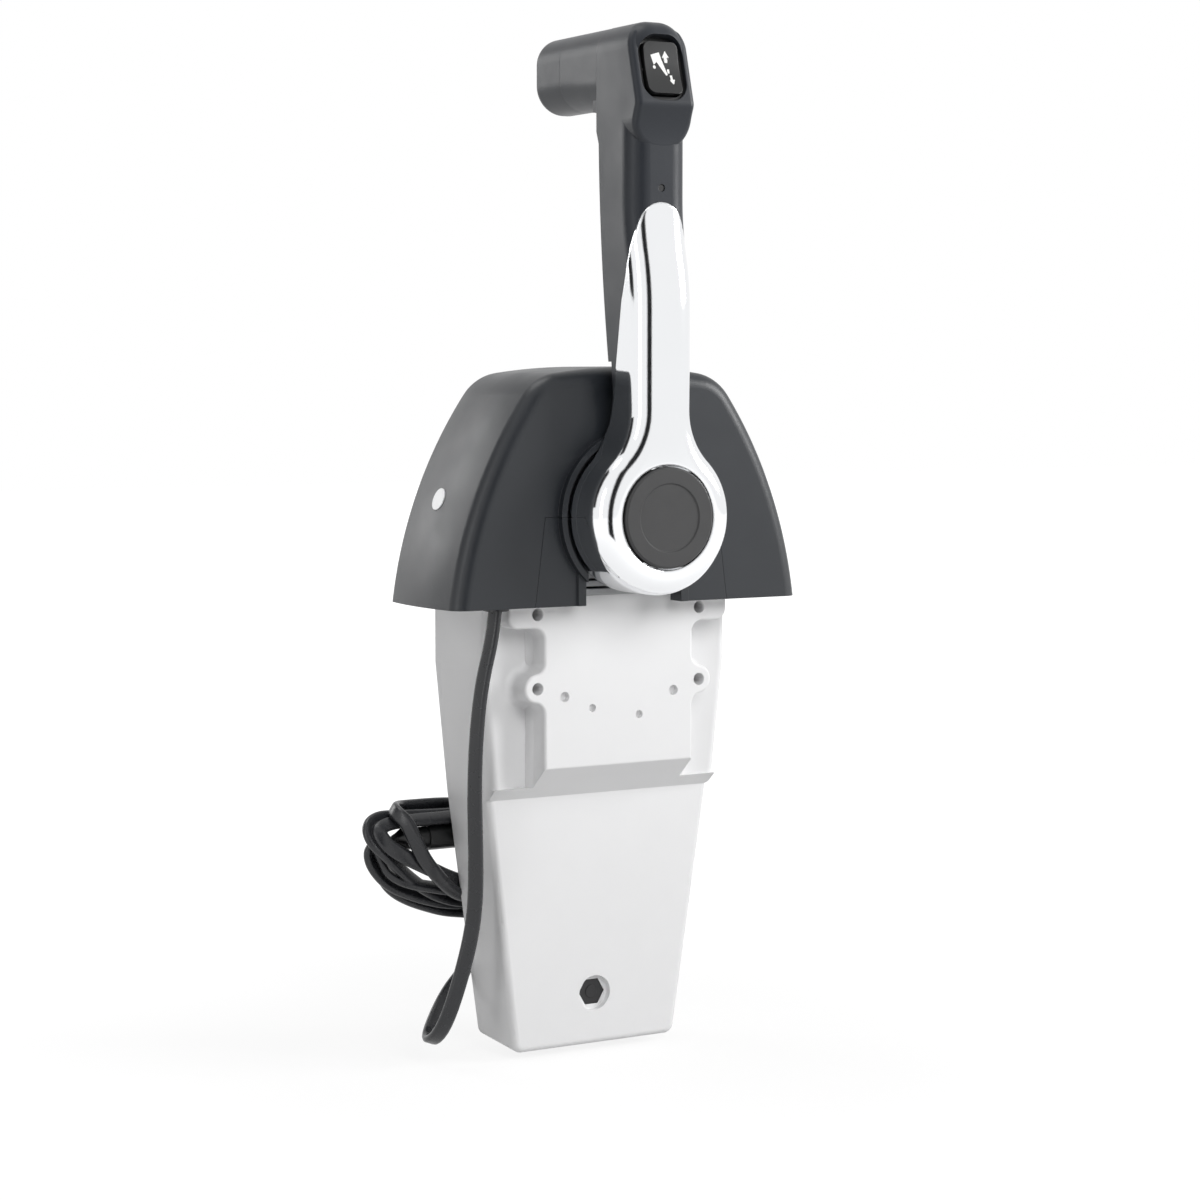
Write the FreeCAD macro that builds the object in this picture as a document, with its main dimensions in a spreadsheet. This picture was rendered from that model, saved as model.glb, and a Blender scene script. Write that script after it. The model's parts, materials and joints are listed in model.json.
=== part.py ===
"""Side-mount engine control for a boat, in millimetres.

+Z is up, X runs fore and aft, and the lever is on the -Y side. The origin is the
centre of the hood's rim, on the top of the console that the control drops into.
"""
import FreeCAD, Part
import math
import os
import Sketcher

SIZES = {
    # hood over the pivot
    "hood_length": 180.0,
    "hood_width": 66.0,
    "hood_height": 104.0,
    "hood_wall": 2.5,
    "hood_plan_radius": 170.0,
    "hood_shoulder_half": 54.8,
    "hood_shoulder_level": 91.6,
    "hood_top_half": 39.2,
    "hood_top_drop": 2.8,
    "hood_edge_round": 7.0,
    "shaft_hole_radius": 13.0,
    "collar_radius": 37.5,
    "collar_wall": 2.5,
    "collar_height": 3.5,
    "collar_gap": 0.6,
    "cover_top_half": 44.0,
    "cover_foot_half": 49.0,
    "cover_gap": 0.15,
    "cover_lip": 3.0,
    "cover_lip_thickness": 1.2,
    "slot_half": 24.3,
    "slot_top": 14.0,
    "slot_rib": 3.8,
    "slot_rib_proud": 1.2,
    "slot_rib_depth": 8.0,
    "badge_radius": 5.0,
    "badge_thickness": 0.9,
    "badge_recess": 0.6,
    "badge_level": 46.4,
    # lever
    "pivot_level": 39.0,
    "boss_radius": 34.0,
    "boss_front": 63.0,
    "boss_back": 35.0,
    "boss_blend": 30.0,
    "arm_neck_half": 14.5,
    "arm_top_level": 176.0,
    "arm_bend_level": 128.0,
    "arm_edge_round": 9.0,
    "grip_front": 56.8,
    "tip_level": 174.0,
    "tip_half": 15.3,
    "tip_side_radius": 60.0,
    "tip_side_run": 25.0,
    "split_gap": 0.15,
    "split_foot_level": 90.0,
    "split_foot": 40.5,
    "split_bend_level": 132.0,
    "split_bend": 47.5,
    "split_curve": 180.0,
    "grip_foot_level": 106.0,
    "grip_foot_back": 36.4,
    "grip_foot_step": 2.6,
    "grip_back_level": 200.0,
    "grip_back": 28.0,
    "grip_back_curve": 700.0,
    "grip_part_line": 26.0,
    "neck_level": 196.0,
    "head_foot_corner": 13.0,
    "head_low": 215.0,
    "head_face": 61.5,
    "head_face_top": 53.0,
    "head_face_top_level": 246.0,
    "head_front_top": 46.0,
    "head_lip_round": 2.6,
    "head_chin_round": 5.0,
    "head_corner": 12.0,
    "lever_top": 250.8,
    "handle_end": 33.0,
    "handle_bottom": 214.5,
    "handle_rise": 2.4,
    "handle_half": 14.0,
    "handle_bottom_round": 13.0,
    "handle_end_round": 6.0,
    "handle_cap_line": 7.4,
    "handle_fillet": 9.0,
    "back_edge_round": 3.0,
    "button_radius": 21.9,
    "button_well_radius": 22.8,
    "button_well_depth": 16.0,
    "button_proud": 1.4,
    "button_edge": 0.8,
    "button_thickness": 3.5,
    "button_dish_radius": 15.0,
    "button_dish_depth": 0.5,
    "button_stem_radius": 4.0,
    "button_stem_length": 14.0,
    "button_travel": 3.0,
    "spring_wire": 1.2,
    "spring_radius": 7.2,
    "spring_turns": 3.0,
    "rocker_half": 8.4,
    "rocker_height": 23.0,
    "rocker_proud": 1.2,
    "rocker_gap": 0.5,
    "rocker_corner": 3.0,
    "rocker_pin_radius": 1.0,
    "rocker_pin_half": 10.4,
    "rocker_pin_depth": 3.6,
    "well_half": 11.2,
    "well_height": 28.5,
    "well_corner": 8.5,
    "well_depth": 10.0,
    "bezel_thickness": 4.0,
    "bezel_recess": 2.0,
    "grip_screw_radius": 1.6,
    "grip_screw_level": 180.0,
    "grip_screw_length": 9.0,
    # shaft and frame
    "shaft_radius": 8.0,
    "shaft_head_radius": 11.0,
    "shaft_head_thickness": 3.0,
    "running_gap": 0.05,
    "bush_radius": 10.5,
    "bush_flange_radius": 12.5,
    "bush_flange": 1.5,
    "frame_near": 24.0,
    "frame_near_wall": 8.0,
    "frame_far": 24.0,
    "frame_far_wall": 5.0,
    "frame_half": 30.0,
    "spacer_radius": 3.0,
    "spacer_top": 64.5,
    "spacer_side_x": 24.0,
    "spacer_side_level": 46.0,
    "frame_foot_half": 55.0,
    "frame_foot": 6.0,
    "near_foot_inner": 13.0,
    "far_foot_inner": 17.0,
    "far_foot_outer": 26.0,
    "frame_screw_radius": 1.6,
    "frame_screw_depth": 8.0,
    "frame_screw_x": 47.0,
    "frame_screw_near": 18.0,
    "frame_screw_far": 22.0,
    "hood_lug_radius": 4.5,
    "hood_screw_radius": 1.9,
    "hood_screw_x": 25.0,
    "hood_screw_level": 20.0,
    "screw_head_radius": 3.4,
    "screw_head": 1.8,
    "socket_width": 3.0,
    "socket_depth": 1.2,
    "friction_screw_radius": 2.5,
    "friction_head": 3.0,
    "cam_radius": 12.0,
    "cam_lobe": 2.0,
    "cam_lobe_half": 3.0,
    "cam_low": -14.0,
    "cam_thickness": 5.0,
    "sensor_half": 6.0,
    "sensor_gap": 0.3,
    "sensor_height": 10.0,
    "sensor_depth": 7.5,
    "fin_depth": 2.6,
    "fin_thickness": 2.4,
    "fin_pitch": 3.6,
    "fin_first_level": 4.2,
    "fin_end_gap": 0.5,
    "flange_end_gap": 5.5,
    "flange_side_gap": 3.5,
    "flange_thickness": 3.0,
    "flange_corner": 8.0,
    "flange_hole_radius": 2.75,
    "flange_hole_inset": 8.0,
    "flange_hole_y": 17.0,
    # housing below the console
    "housing_half": 62.4,
    "housing_shoulder_level": 28.0,
    "housing_waist_level": 87.5,
    "housing_waist_inset": 5.8,
    "housing_foot_half": 40.9,
    "housing_bottom": 205.2,
    "housing_back": 31.0,
    "housing_draft": 2.7,
    "housing_wall": 3.5,
    "housing_side_face": 11.0,
    "housing_crease_face": 6.0,
    "housing_crease_half": 39.4,
    "housing_recess_bottom": 82.0,
    "housing_corner": 5.0,
    "housing_lift": 4.0,
    "housing_lower_face": 4.1,
    "housing_foot_face": 0.1,
    "housing_edge_round": 3.0,
    "plate_face": 21.6,
    "plate_half": 38.0,
    "plate_bottom": 72.5,
    "plate_top": 3.4,
    "plate_top_gap": 1.5,
    "plate_corner": 4.0,
    "plate_blend": 5.0,
    "plate_edge_round": 1.2,
    "ear_foot_round": 3.0,
    "ear_x": 41.5,
    "ear_upper_level": 4.1,
    "ear_lower_level": 36.8,
    "ear_radius": 6.4,
    "ear_hole_radius": 2.75,
    "ear_bar_half": 56.0,
    "ear_bar_bottom": 10.2,
    "ear_hole_depth": 14.0,
    "dowel_radius": 2.25,
    "dowel_depth": 3.0,
    "dowel_x": 28.0,
    "dowel_level": 41.0,
    "tapping_radius": 1.75,
    "tapping_left": 13.9,
    "tapping_left_level": 46.7,
    "tapping_right": 10.1,
    "tapping_right_level": 50.9,
    "tapping_depth": 2.5,
    "anchor_level": 180.0,
    "anchor_well_radius": 8.0,
    "anchor_well_depth": 3.0,
    "anchor_hex": 11.5,
    "anchor_hex_depth": 5.0,
    "anchor_bolt_radius": 3.0,
    "back_plate": 3.0,
    "back_screw_radius": 1.6,
    "back_screw_boss": 4.5,
    "back_screw_depth": 15.0,
    "cable_bore_radius": 6.0,
    "cable_bore_x": 18.0,
    "cable_bore_y": 15.0,
    # gear train
    "gear_module": 2.0,
    "drive_teeth": 18.0,
    "driven_teeth": 30.0,
    "tooth_share": 0.40,
    "addendum": 0.85,
    "dedendum": 1.05,
    "drive_low": -2.0,
    "drive_high": 17.0,
    "shift_gear_low": -1.5,
    "throttle_gear_low": 10.0,
    "gear_width": 6.0,
    "arm_thickness": 3.0,
    "arm_reach": 41.0,
    "arm_end_radius": 7.0,
    "axle_radius": 4.0,
    "axle_boss_radius": 8.0,
    "axle_post_radius": 6.0,
    "pin_radius": 2.5,
    "pin_length": 9.0,
    "clip_radius": 6.0,
    "clip_thickness": 0.9,
    # switch lead
    "lead_radius": 3.0,
    "grommet_gap": 1.9,
    "grommet_y": 22.5,
    "grommet_neck": 4.4,
    "grommet_flange": 5.6,
    "grommet_lip": 1.4,
    "coil_x": 39.0,
    "coil_level": 119.0,
    "coil_half_length": 57.0,
    "coil_half_height": 27.0,
    "coil_corner": 26.0,
    "coil_bundle": 10.0,
    "coil_near": 32.4,
    "coil_depth": 15.0,
    "coil_edge_round": 4.0,
    "connector_level": 109.0,
    "connector_y": 40.0,
    "connector_radius": 6.0,
    "connector_start": 88.0,
    "connector_boot": 78.0,
    "connector_end": 46.0,
    "strap_x": -16.0,
    "strap_half_width": 4.0,
    "strap_thickness": 1.2,
    "strap_tab": 14.0,
    "strap_screw_drop": 9.0,
}

# The corners of the switch lead's route, from the grommet down the left end, under the
# back corner and up to the hank
LEAD_ROUTE = (
    (-62.5, -22.5, 5.0),
    (-63.3, -22.3, -10.0),
    (-69.0, -19.5, -36.0),
    (-70.2, -16.0, -72.0),
    (-67.0, -11.5, -108.0),
    (-64.8, -6.5, -136.0),
    (-69.0, -4.0, -160.0),
    (-76.5, 2.0, -190.0),
    (-77.5, 19.0, -199.0),
    (-62.0, 29.0, -180.0),
    (-46.0, 36.5, -170.0),
    (-39.5, 40.0, -146.0),
)

document = FreeCAD.newDocument("throttle_control")
sheet = document.addObject("Spreadsheet::Sheet", "Sizes")
for row, (alias, length) in enumerate(SIZES.items(), start=1):
    sheet.set("A%d" % row, alias.replace("_", " "))
    sheet.set("B%d" % row, str(length))
    sheet.setAlias("B%d" % row, alias)
document.recompute()


class Size:
    """A number together with the formula that gives it from the sheet."""

    def __init__(self, value, formula):
        self.value = value
        self.formula = formula

    def __add__(self, other):
        other = sized(other)
        return Size(self.value + other.value, "(%s + %s)" % (self.formula, other.formula))

    def __sub__(self, other):
        other = sized(other)
        return Size(self.value - other.value, "(%s - %s)" % (self.formula, other.formula))

    def __mul__(self, other):
        other = sized(other)
        return Size(self.value * other.value, "%s * %s" % (self.formula, other.formula))

    def __truediv__(self, other):
        other = sized(other)
        return Size(self.value / other.value, "%s / (%s)" % (self.formula, other.formula))

    def __neg__(self):
        return Size(-self.value, "(0 - %s)" % self.formula)

    def __radd__(self, other):
        return sized(other) + self

    def __rsub__(self, other):
        return sized(other) - self

    def __rmul__(self, other):
        return sized(other) * self


def sized(item):
    """The item as a Size."""
    return item if isinstance(item, Size) else Size(float(item), "(%.6f)" % item)


def number(item):
    """The item's plain number."""
    return item.value if isinstance(item, Size) else float(item)


def formula_of(name, value, *items):
    """A sheet function of some sizes."""
    return Size(value, "%s(%s)" % (name, "; ".join(sized(item).formula for item in items)))


def root(item):
    return formula_of("sqrt", math.sqrt(number(item)), item)


def sine(angle):
    return formula_of("sin", math.sin(math.radians(number(angle))), angle)


def cosine(angle):
    return formula_of("cos", math.cos(math.radians(number(angle))), angle)


def slope_of(rise, run):
    """The angle in degrees of a slope, without its unit so that it can be used as a number."""
    plain = formula_of("atan", math.degrees(math.atan(number(rise) / number(run))), rise / run)
    return Size(plain.value, plain.formula + " / 1deg")


class Sheet:
    """Gives each cell of the sheet by its name."""

    def __getattr__(self, name):
        return Size(SIZES[name], "Sizes." + name)


s = Sheet()


def bind(item, prop, value):
    """Set a property from the sheet."""
    item.setExpression(prop, sized(value).formula)


def body(label, base=None):
    item = document.addObject("PartDesign::Body", label)
    item.Label = label
    item.AllowCompound = True
    if base is not None:
        item.BaseFeature = base
        document.recompute()
    return item


def circle(x, y, radius):
    return ("circle", x, y, radius)


def outline(*points):
    """A closed outline of points (x, y) or (x, y, bend). The bend is the radius of the
    run that ends at the point: above zero it curves left, below zero right."""
    return ("outline", points)


def rectangle(left, low, right, high):
    return outline((left, low), (right, low), (right, high), (left, high))


def draw_circle(drawing, x, y, radius):
    centre = FreeCAD.Vector(number(x), number(y), 0)
    ring = drawing.addGeometry(Part.Circle(centre, FreeCAD.Vector(0, 0, 1), number(radius)))
    hold(drawing, ring, 3, x, y)
    limit = drawing.addConstraint(Sketcher.Constraint("Radius", ring, number(radius)))
    bind(drawing, "Constraints[%d]" % limit, radius)


def hold(drawing, edge, end, x, y):
    """Hold a point of the sketch at its distances from the origin."""
    for kind, value in (("DistanceX", x), ("DistanceY", y)):
        limit = drawing.addConstraint(Sketcher.Constraint(kind, -1, 1, edge, end, number(value)))
        bind(drawing, "Constraints[%d]" % limit, value)


def draw_outline(drawing, points):
    ends = []
    for index, point in enumerate(points):
        before = points[index - 1]
        start = FreeCAD.Vector(number(before[0]), number(before[1]), 0)
        end = FreeCAD.Vector(number(point[0]), number(point[1]), 0)
        if len(point) == 2:
            edge = drawing.addGeometry(Part.LineSegment(start, end))
            ends.append((edge, 1, 2))
            continue
        bend = number(point[2])
        middle = (start + end) * 0.5
        run = end - start
        side = FreeCAD.Vector(-run.y, run.x, 0).normalize()
        reach = math.sqrt(max(bend * bend - run.Length ** 2 / 4, 0.0))
        centre = middle + side * math.copysign(reach, bend)
        full = Part.Circle(centre, FreeCAD.Vector(0, 0, 1), abs(bend))
        first, last = (start, end) if bend > 0 else (end, start)
        angles = [math.atan2(tip.y - centre.y, tip.x - centre.x) for tip in (first, last)]
        edge = drawing.addGeometry(Part.ArcOfCircle(full, angles[0], angles[1]))
        ends.append((edge, 1, 2) if bend > 0 else (edge, 2, 1))
    for index, (edge, first, last) in enumerate(ends):
        following, start, unused = ends[(index + 1) % len(ends)]
        drawing.addConstraint(Sketcher.Constraint("Coincident", edge, last, following, start))
        point = points[index]
        hold(drawing, edge, last, point[0], point[1])
        if len(point) == 3:
            radius = point[2] if number(point[2]) > 0 else -point[2]
            limit = drawing.addConstraint(Sketcher.Constraint("Radius", edge, number(radius)))
            bind(drawing, "Constraints[%d]" % limit, radius)


PLANES = {"x": "YZ_Plane", "y": "XZ_Plane", "z": "XY_Plane"}


def sketch(owner, axis, at, shapes, shift=0):
    """A sketch across an axis of the owner, with its own zero moved sideways by a shift.
    Seen along X it is drawn in Y and Z, along Y in X and Z, and along Z in X and Y."""
    drawing = owner.newObject("Sketcher::SketchObject", owner.Name + "_sketch")
    plane = next(item for item in owner.Origin.OriginFeatures if item.Role == PLANES[axis])
    drawing.AttachmentSupport = [(plane, "")]
    drawing.MapMode = "FlatFace"
    bind(drawing, "AttachmentOffset.Base.x", shift)
    bind(drawing, "AttachmentOffset.Base.z", -sized(at) if axis == "y" else at)
    for shape in shapes:
        if shape[0] == "circle":
            draw_circle(drawing, *shape[1:])
        else:
            draw_outline(drawing, shape[1])
    return drawing


def pad(owner, axis, low, high, *shapes):
    """Add the shapes to the owner from low to high along the axis."""
    feature = owner.newObject("PartDesign::Pad", owner.Name + "_pad")
    feature.Profile = sketch(owner, axis, high if axis == "y" else low, shapes)
    bind(feature, "Length", sized(high) - low)
    document.recompute()
    return feature


def volume_of(owner):
    """The volume of a body so far."""
    return 0.0 if owner.Tip is None else owner.Shape.Volume


def cut(owner, axis, low, high, *shapes):
    """Take the shapes out of the owner from low to high along the axis."""
    before = volume_of(owner)
    feature = owner.newObject("PartDesign::Pocket", owner.Name + "_pocket")
    feature.Profile = sketch(owner, axis, low if axis == "y" else high, shapes)
    bind(feature, "Length", sized(high) - low)
    document.recompute()
    if not owner.Shape.Volume < before:
        raise RuntimeError("a pocket of %s cuts nothing" % owner.Label)
    return feature


def turn(owner, axis, at, shift, *shapes, groove=False):
    """Turn the shapes about the sketch's own upright axis, which stands at the shift."""
    before = volume_of(owner)
    kind = "Groove" if groove else "Revolution"
    feature = owner.newObject("PartDesign::" + kind, owner.Name + "_" + kind.lower())
    feature.Profile = sketch(owner, axis, at, shapes, shift)
    feature.ReferenceAxis = (feature.Profile[0], ["V_Axis"])
    feature.Angle = 360
    document.recompute()
    if groove and not owner.Shape.Volume < before:
        raise RuntimeError("a groove of %s cuts nothing" % owner.Label)
    return feature


def middle_of(edge):
    first, last = edge.ParameterRange
    return edge.valueAt((first + last) / 2)


def round_edges(owner, radius, test, chamfer=False):
    """Round the edges of the owner's last feature whose middle point passes the test."""
    base = owner.Tip
    if not base.Shape.isValid():
        raise RuntimeError("%s was not sound before its edges were rounded" % owner.Label)
    names = ["Edge%d" % place for place, edge in enumerate(base.Shape.Edges, start=1)
             if test(middle_of(edge), edge)]
    if not names:
        raise RuntimeError("no edge to round on %s" % owner.Label)
    kind = "Chamfer" if chamfer else "Fillet"
    feature = owner.newObject("PartDesign::" + kind, owner.Name + "_" + kind.lower())
    feature.Base = (base, names)
    feature.Refine = False
    bind(feature, "Size" if chamfer else "Radius", radius)
    document.recompute()
    if "Invalid" in feature.State or not feature.Shape.isValid():
        raise RuntimeError("the round edges of %s failed" % owner.Label)
    return feature


def loft(owner, axis, low, high, first, second):
    """A ruled body between two outlines."""
    feature = owner.newObject("PartDesign::AdditiveLoft", owner.Name + "_loft")
    feature.Profile = sketch(owner, axis, low, [first])
    feature.Sections = [(sketch(owner, axis, high, [second]), [""])]
    feature.Ruled = True
    document.recompute()
    return feature


def near(value, target, slack=0.02):
    return abs(value - number(target)) < slack


def boolean(kind, label, base, tool, refine=False):
    """A cut, common or fuse of two objects."""
    item = document.addObject("Part::" + kind, label)
    item.Label = label
    item.Base = base
    item.Tool = tool
    item.Refine = refine
    document.recompute()
    return item


def cylinder(label, axis, x, y, z, radius, length):
    """A round bar that starts at a point and runs along an axis: x, y or z."""
    item = document.addObject("Part::Cylinder", label)
    item.Label = label
    bind(item, "Radius", radius)
    bind(item, "Height", length)
    for name, value in zip("xyz", (x, y, z)):
        bind(item, "Placement.Base." + name, value)
    turns = {"x": ((0, 1, 0), 90), "y": ((1, 0, 0), -90), "z": ((0, 0, 1), 0)}
    direction, angle = turns[axis]
    item.Placement.Rotation = FreeCAD.Rotation(FreeCAD.Vector(*direction), angle)
    document.recompute()
    return item


def copies(label, piece, places):
    """One node of several equal solids, each moved by a vector from the piece."""
    item = document.addObject("Part::Feature", label)
    item.Label = label
    solids = []
    for place in places:
        solid = piece.Shape.copy()
        solid.translate(FreeCAD.Vector(*[number(value) for value in place]))
        solids.append(solid)
    item.Shape = Part.Compound(solids)
    return item


nodes = {}


def keep(item, label=None):
    """Mark an object as a sub-part that is written."""
    item.Label = label or item.Label
    nodes[item.Label] = item
    return item


# Hood

def arc_through(run, rise, turn_angle):
    """The radius of an arc by its chord's run and rise and by the angle that it turns."""
    return root(run * run + rise * rise) / (2 * sine(turn_angle / 2))


crown_radius = (s.hood_top_half * s.hood_top_half + s.hood_top_drop * s.hood_top_drop) / (2 * s.hood_top_drop)
crown_level = s.hood_height - s.hood_top_drop
crown_slope = slope_of(s.hood_top_half, crown_radius - s.hood_top_drop)
shoulder_run = s.hood_shoulder_half - s.hood_top_half
shoulder_drop = crown_level - s.hood_shoulder_level
shoulder_slope = 2 * slope_of(shoulder_drop, shoulder_run) - crown_slope
shoulder_radius = arc_through(shoulder_run, shoulder_drop, shoulder_slope - crown_slope)
end_run = s.hood_length / 2 - s.hood_shoulder_half
end_slope = 2 * slope_of(s.hood_shoulder_level, end_run) - shoulder_slope
end_radius = arc_through(end_run, s.hood_shoulder_level, end_slope - shoulder_slope)


def hood_end(inset, shift):
    """Half of the hood seen along Y: a low crown, a tight shoulder and a long curved end
    that goes on straight below the rim."""
    crown_x = s.hood_top_half - inset * sine(crown_slope)
    crown_z = crown_level - inset * cosine(crown_slope)
    shoulder_x = s.hood_shoulder_half - inset * sine(shoulder_slope)
    shoulder_z = s.hood_shoulder_level - inset * cosine(shoulder_slope)
    end_x = s.hood_length / 2 - inset * sine(end_slope)
    end_z = -inset * cosine(end_slope)
    below = -s.hood_wall
    below_x = end_x + (end_z - below) * cosine(end_slope) / sine(end_slope)
    return outline(
        (sized(0), below),
        (below_x - shift, below),
        (end_x - shift, end_z),
        (shoulder_x - shift, shoulder_z, end_radius - inset),
        (crown_x - shift, crown_z, shoulder_radius - inset),
        (-shift, s.hood_height - inset, crown_radius - inset),
        (sized(0), s.hood_height - inset),
    )


def dome(label, inset):
    """The hood's outer form, or the hollow in it: where two turned ends meet in a slab."""
    half = s.hood_width / 2 - inset
    shift = s.hood_length / 2 - s.hood_plan_radius
    right = body(label + "_right")
    turn(right, "y", 0, shift, hood_end(inset, shift))
    left = body(label + "_left")
    turn(left, "y", 0, shift, hood_end(inset, shift))
    left.Placement = FreeCAD.Placement(FreeCAD.Vector(), FreeCAD.Rotation(FreeCAD.Vector(0, 0, 1), 180))
    slab = body(label + "_slab")
    pad(slab, "y", -half, half, rectangle(-s.hood_length / 2, 0, s.hood_length / 2, s.hood_height))
    fore = boolean("Common", label + "_fore", slab, right)
    aft = boolean("Common", label + "_aft", slab, left)
    form = body(label, boolean("Common", label + "_block", fore, aft))
    round_edges(form, s.hood_edge_round - inset,
                lambda point, edge: near(abs(point.y), half) and point.z > 1)
    return form


hood_form = dome("hood_form", sized(0))
hood_hollow = dome("hood_hollow", s.hood_wall)


hood_shell = boolean("Cut", "hood_shell", hood_form, hood_hollow)
hood = body("hood_body", hood_shell)
front = -s.hood_width / 2
inside = front + s.hood_wall
collar_face = front - s.collar_height
pad(hood, "y", collar_face, front + s.hood_wall / 2,
    circle(0, s.pivot_level, s.collar_radius),
    circle(0, s.pivot_level, s.collar_radius - s.collar_wall))


def cover_outline(grow, foot):
    """The removable cover's own outline, wider at its foot, grown by an amount."""
    return outline(
        (-s.cover_foot_half - grow, foot),
        (s.cover_foot_half + grow, foot),
        (s.cover_top_half + grow, s.pivot_level + grow),
        (-s.cover_top_half - grow, s.pivot_level + grow),
    )


cut(hood, "y", collar_face - 1, inside + s.hood_wall, cover_outline(sized(0), -s.cover_gap))
cut(hood, "y", front - 1, inside + 1, circle(0, s.pivot_level, s.shaft_hole_radius))

slot_cover = keep(body("slot_cover"))
pad(slot_cover, "y", front, inside, cover_outline(-s.cover_gap, sized(0)))
pad(slot_cover, "y", inside, inside + s.cover_lip_thickness, cover_outline(s.cover_lip, sized(0)))
pad(slot_cover, "y", collar_face, front + s.hood_wall / 2,
    circle(0, s.pivot_level, s.collar_radius),
    circle(0, s.pivot_level, s.collar_radius - s.collar_wall))
cut(slot_cover, "y", collar_face - 1, inside,
    rectangle(-s.hood_length / 2, s.pivot_level - s.cover_gap, s.hood_length / 2, s.hood_height))
cut(slot_cover, "y", collar_face - 1, inside + s.slot_rib_depth,
    rectangle(-s.slot_half, -s.cover_gap, s.slot_half, s.slot_top))
for side in (-1, 1):
    edges = sorted((side * s.slot_half, side * (s.slot_half + s.slot_rib)), key=number)
    pad(slot_cover, "y", front - s.slot_rib_proud, front + s.slot_rib_depth,
        rectangle(edges[0], sized(0), edges[1], s.slot_top))
cut(slot_cover, "y", front - 1, inside + s.slot_rib_depth,
    circle(0, s.pivot_level, s.shaft_hole_radius))


# Lever: one outer form, split into the metal arm and the moulded grip

blend = s.boss_blend
blend_x = s.arm_neck_half + blend
blend_rise = root((s.boss_radius + blend) * (s.boss_radius + blend) - blend_x * blend_x)
boss_share = s.boss_radius / (s.boss_radius + blend)
neck_z = s.pivot_level + blend_rise
bend_rise = (s.arm_top_level - s.arm_bend_level) / 2
bend_middle = s.arm_bend_level + bend_rise
lever_form = body("lever_form")
pad(lever_form, "y", -s.boss_front, -s.grip_part_line, outline(
    (blend_x * boss_share, s.pivot_level + blend_rise * boss_share, s.boss_radius),
    (s.arm_neck_half, neck_z, -blend),
    (s.arm_neck_half, s.lever_top - s.head_corner),
    (s.arm_neck_half - s.head_corner, s.lever_top, s.head_corner),
    (s.head_corner - s.arm_neck_half, s.lever_top),
    (-s.arm_neck_half, s.lever_top - s.head_corner, s.head_corner),
    (-s.arm_neck_half, neck_z),
    (-blend_x * boss_share, s.pivot_level + blend_rise * boss_share, -blend),
    (sized(0), s.pivot_level - s.boss_radius, s.boss_radius),
))
bend_run = (s.boss_front - s.grip_front) / 2
bend_radius = (bend_run * bend_run + bend_rise * bend_rise) / (2 * bend_run)
reach = s.boss_front + 5
sides = s.boss_radius + 1
cut(lever_form, "x", -sides, sides, outline(
    (-reach, s.arm_bend_level),
    (-s.boss_front, s.arm_bend_level),
    (-s.boss_front + bend_run, bend_middle, -bend_radius),
    (-s.grip_front, s.arm_top_level, bend_radius),
    (-s.grip_front, s.lever_top + 1),
    (-reach, s.lever_top + 1),
))
cut(lever_form, "x", -sides, sides, outline(
    (-s.boss_back, -5),
    (sized(0), -5),
    (sized(0), s.head_low),
    (-s.grip_part_line, s.head_low),
    (-s.grip_part_line, s.handle_bottom - s.handle_fillet),
    (-s.grip_back, s.grip_back_level),
    (-s.grip_foot_back, s.grip_foot_level, -s.grip_back_curve),
    (-s.grip_foot_back - s.grip_foot_step, s.grip_foot_level),
    (-s.split_foot, s.split_foot_level),
    (-s.boss_back, s.pivot_level + s.boss_radius - 6),
))

round_edges(lever_form, s.arm_edge_round,
            lambda point, edge: point.y < -s.grip_front.value + 0.5
            and not (edge.BoundBox.ZLength < 0.1 and point.z < s.lever_top.value - 1))

neck_run = s.head_face - s.grip_front
neck_rise = s.head_low - s.neck_level
neck_radius = (neck_run * neck_run + neck_rise * neck_rise) / (2 * neck_run)
half = s.arm_neck_half
head_form = body("head_form")
pad(head_form, "y", -s.boss_front, -s.head_front_top + 2, outline(
    (half - s.head_foot_corner, s.neck_level),
    (half, s.neck_level + s.head_foot_corner, s.head_foot_corner),
    (half, s.lever_top - s.head_corner),
    (half - s.head_corner, s.lever_top, s.head_corner),
    (s.head_corner - half, s.lever_top),
    (-half, s.lever_top - s.head_corner, s.head_corner),
    (-half, s.neck_level + s.head_foot_corner),
    (s.head_foot_corner - half, s.neck_level, s.head_foot_corner),
))
cut(head_form, "x", -half - 1, half + 1, outline(
    (-reach, s.neck_level - 1),
    (-s.grip_front, s.neck_level - 1),
    (-s.grip_front, s.neck_level),
    (-s.head_face, s.head_low, neck_radius),
    (-s.head_face_top, s.head_face_top_level),
    (-s.head_front_top, s.lever_top + 1),
    (-reach, s.lever_top + 1),
))
round_edges(head_form, s.head_chin_round,
            lambda point, edge: near(point.y, -s.head_face) and near(point.z, s.head_low))
round_edges(head_form, s.head_lip_round,
            lambda point, edge: point.y < -s.head_front_top.value - 0.5 and point.z > s.neck_level.value + 8)
lever_whole = boolean("Fuse", "lever_whole", lever_form, head_form)


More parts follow.
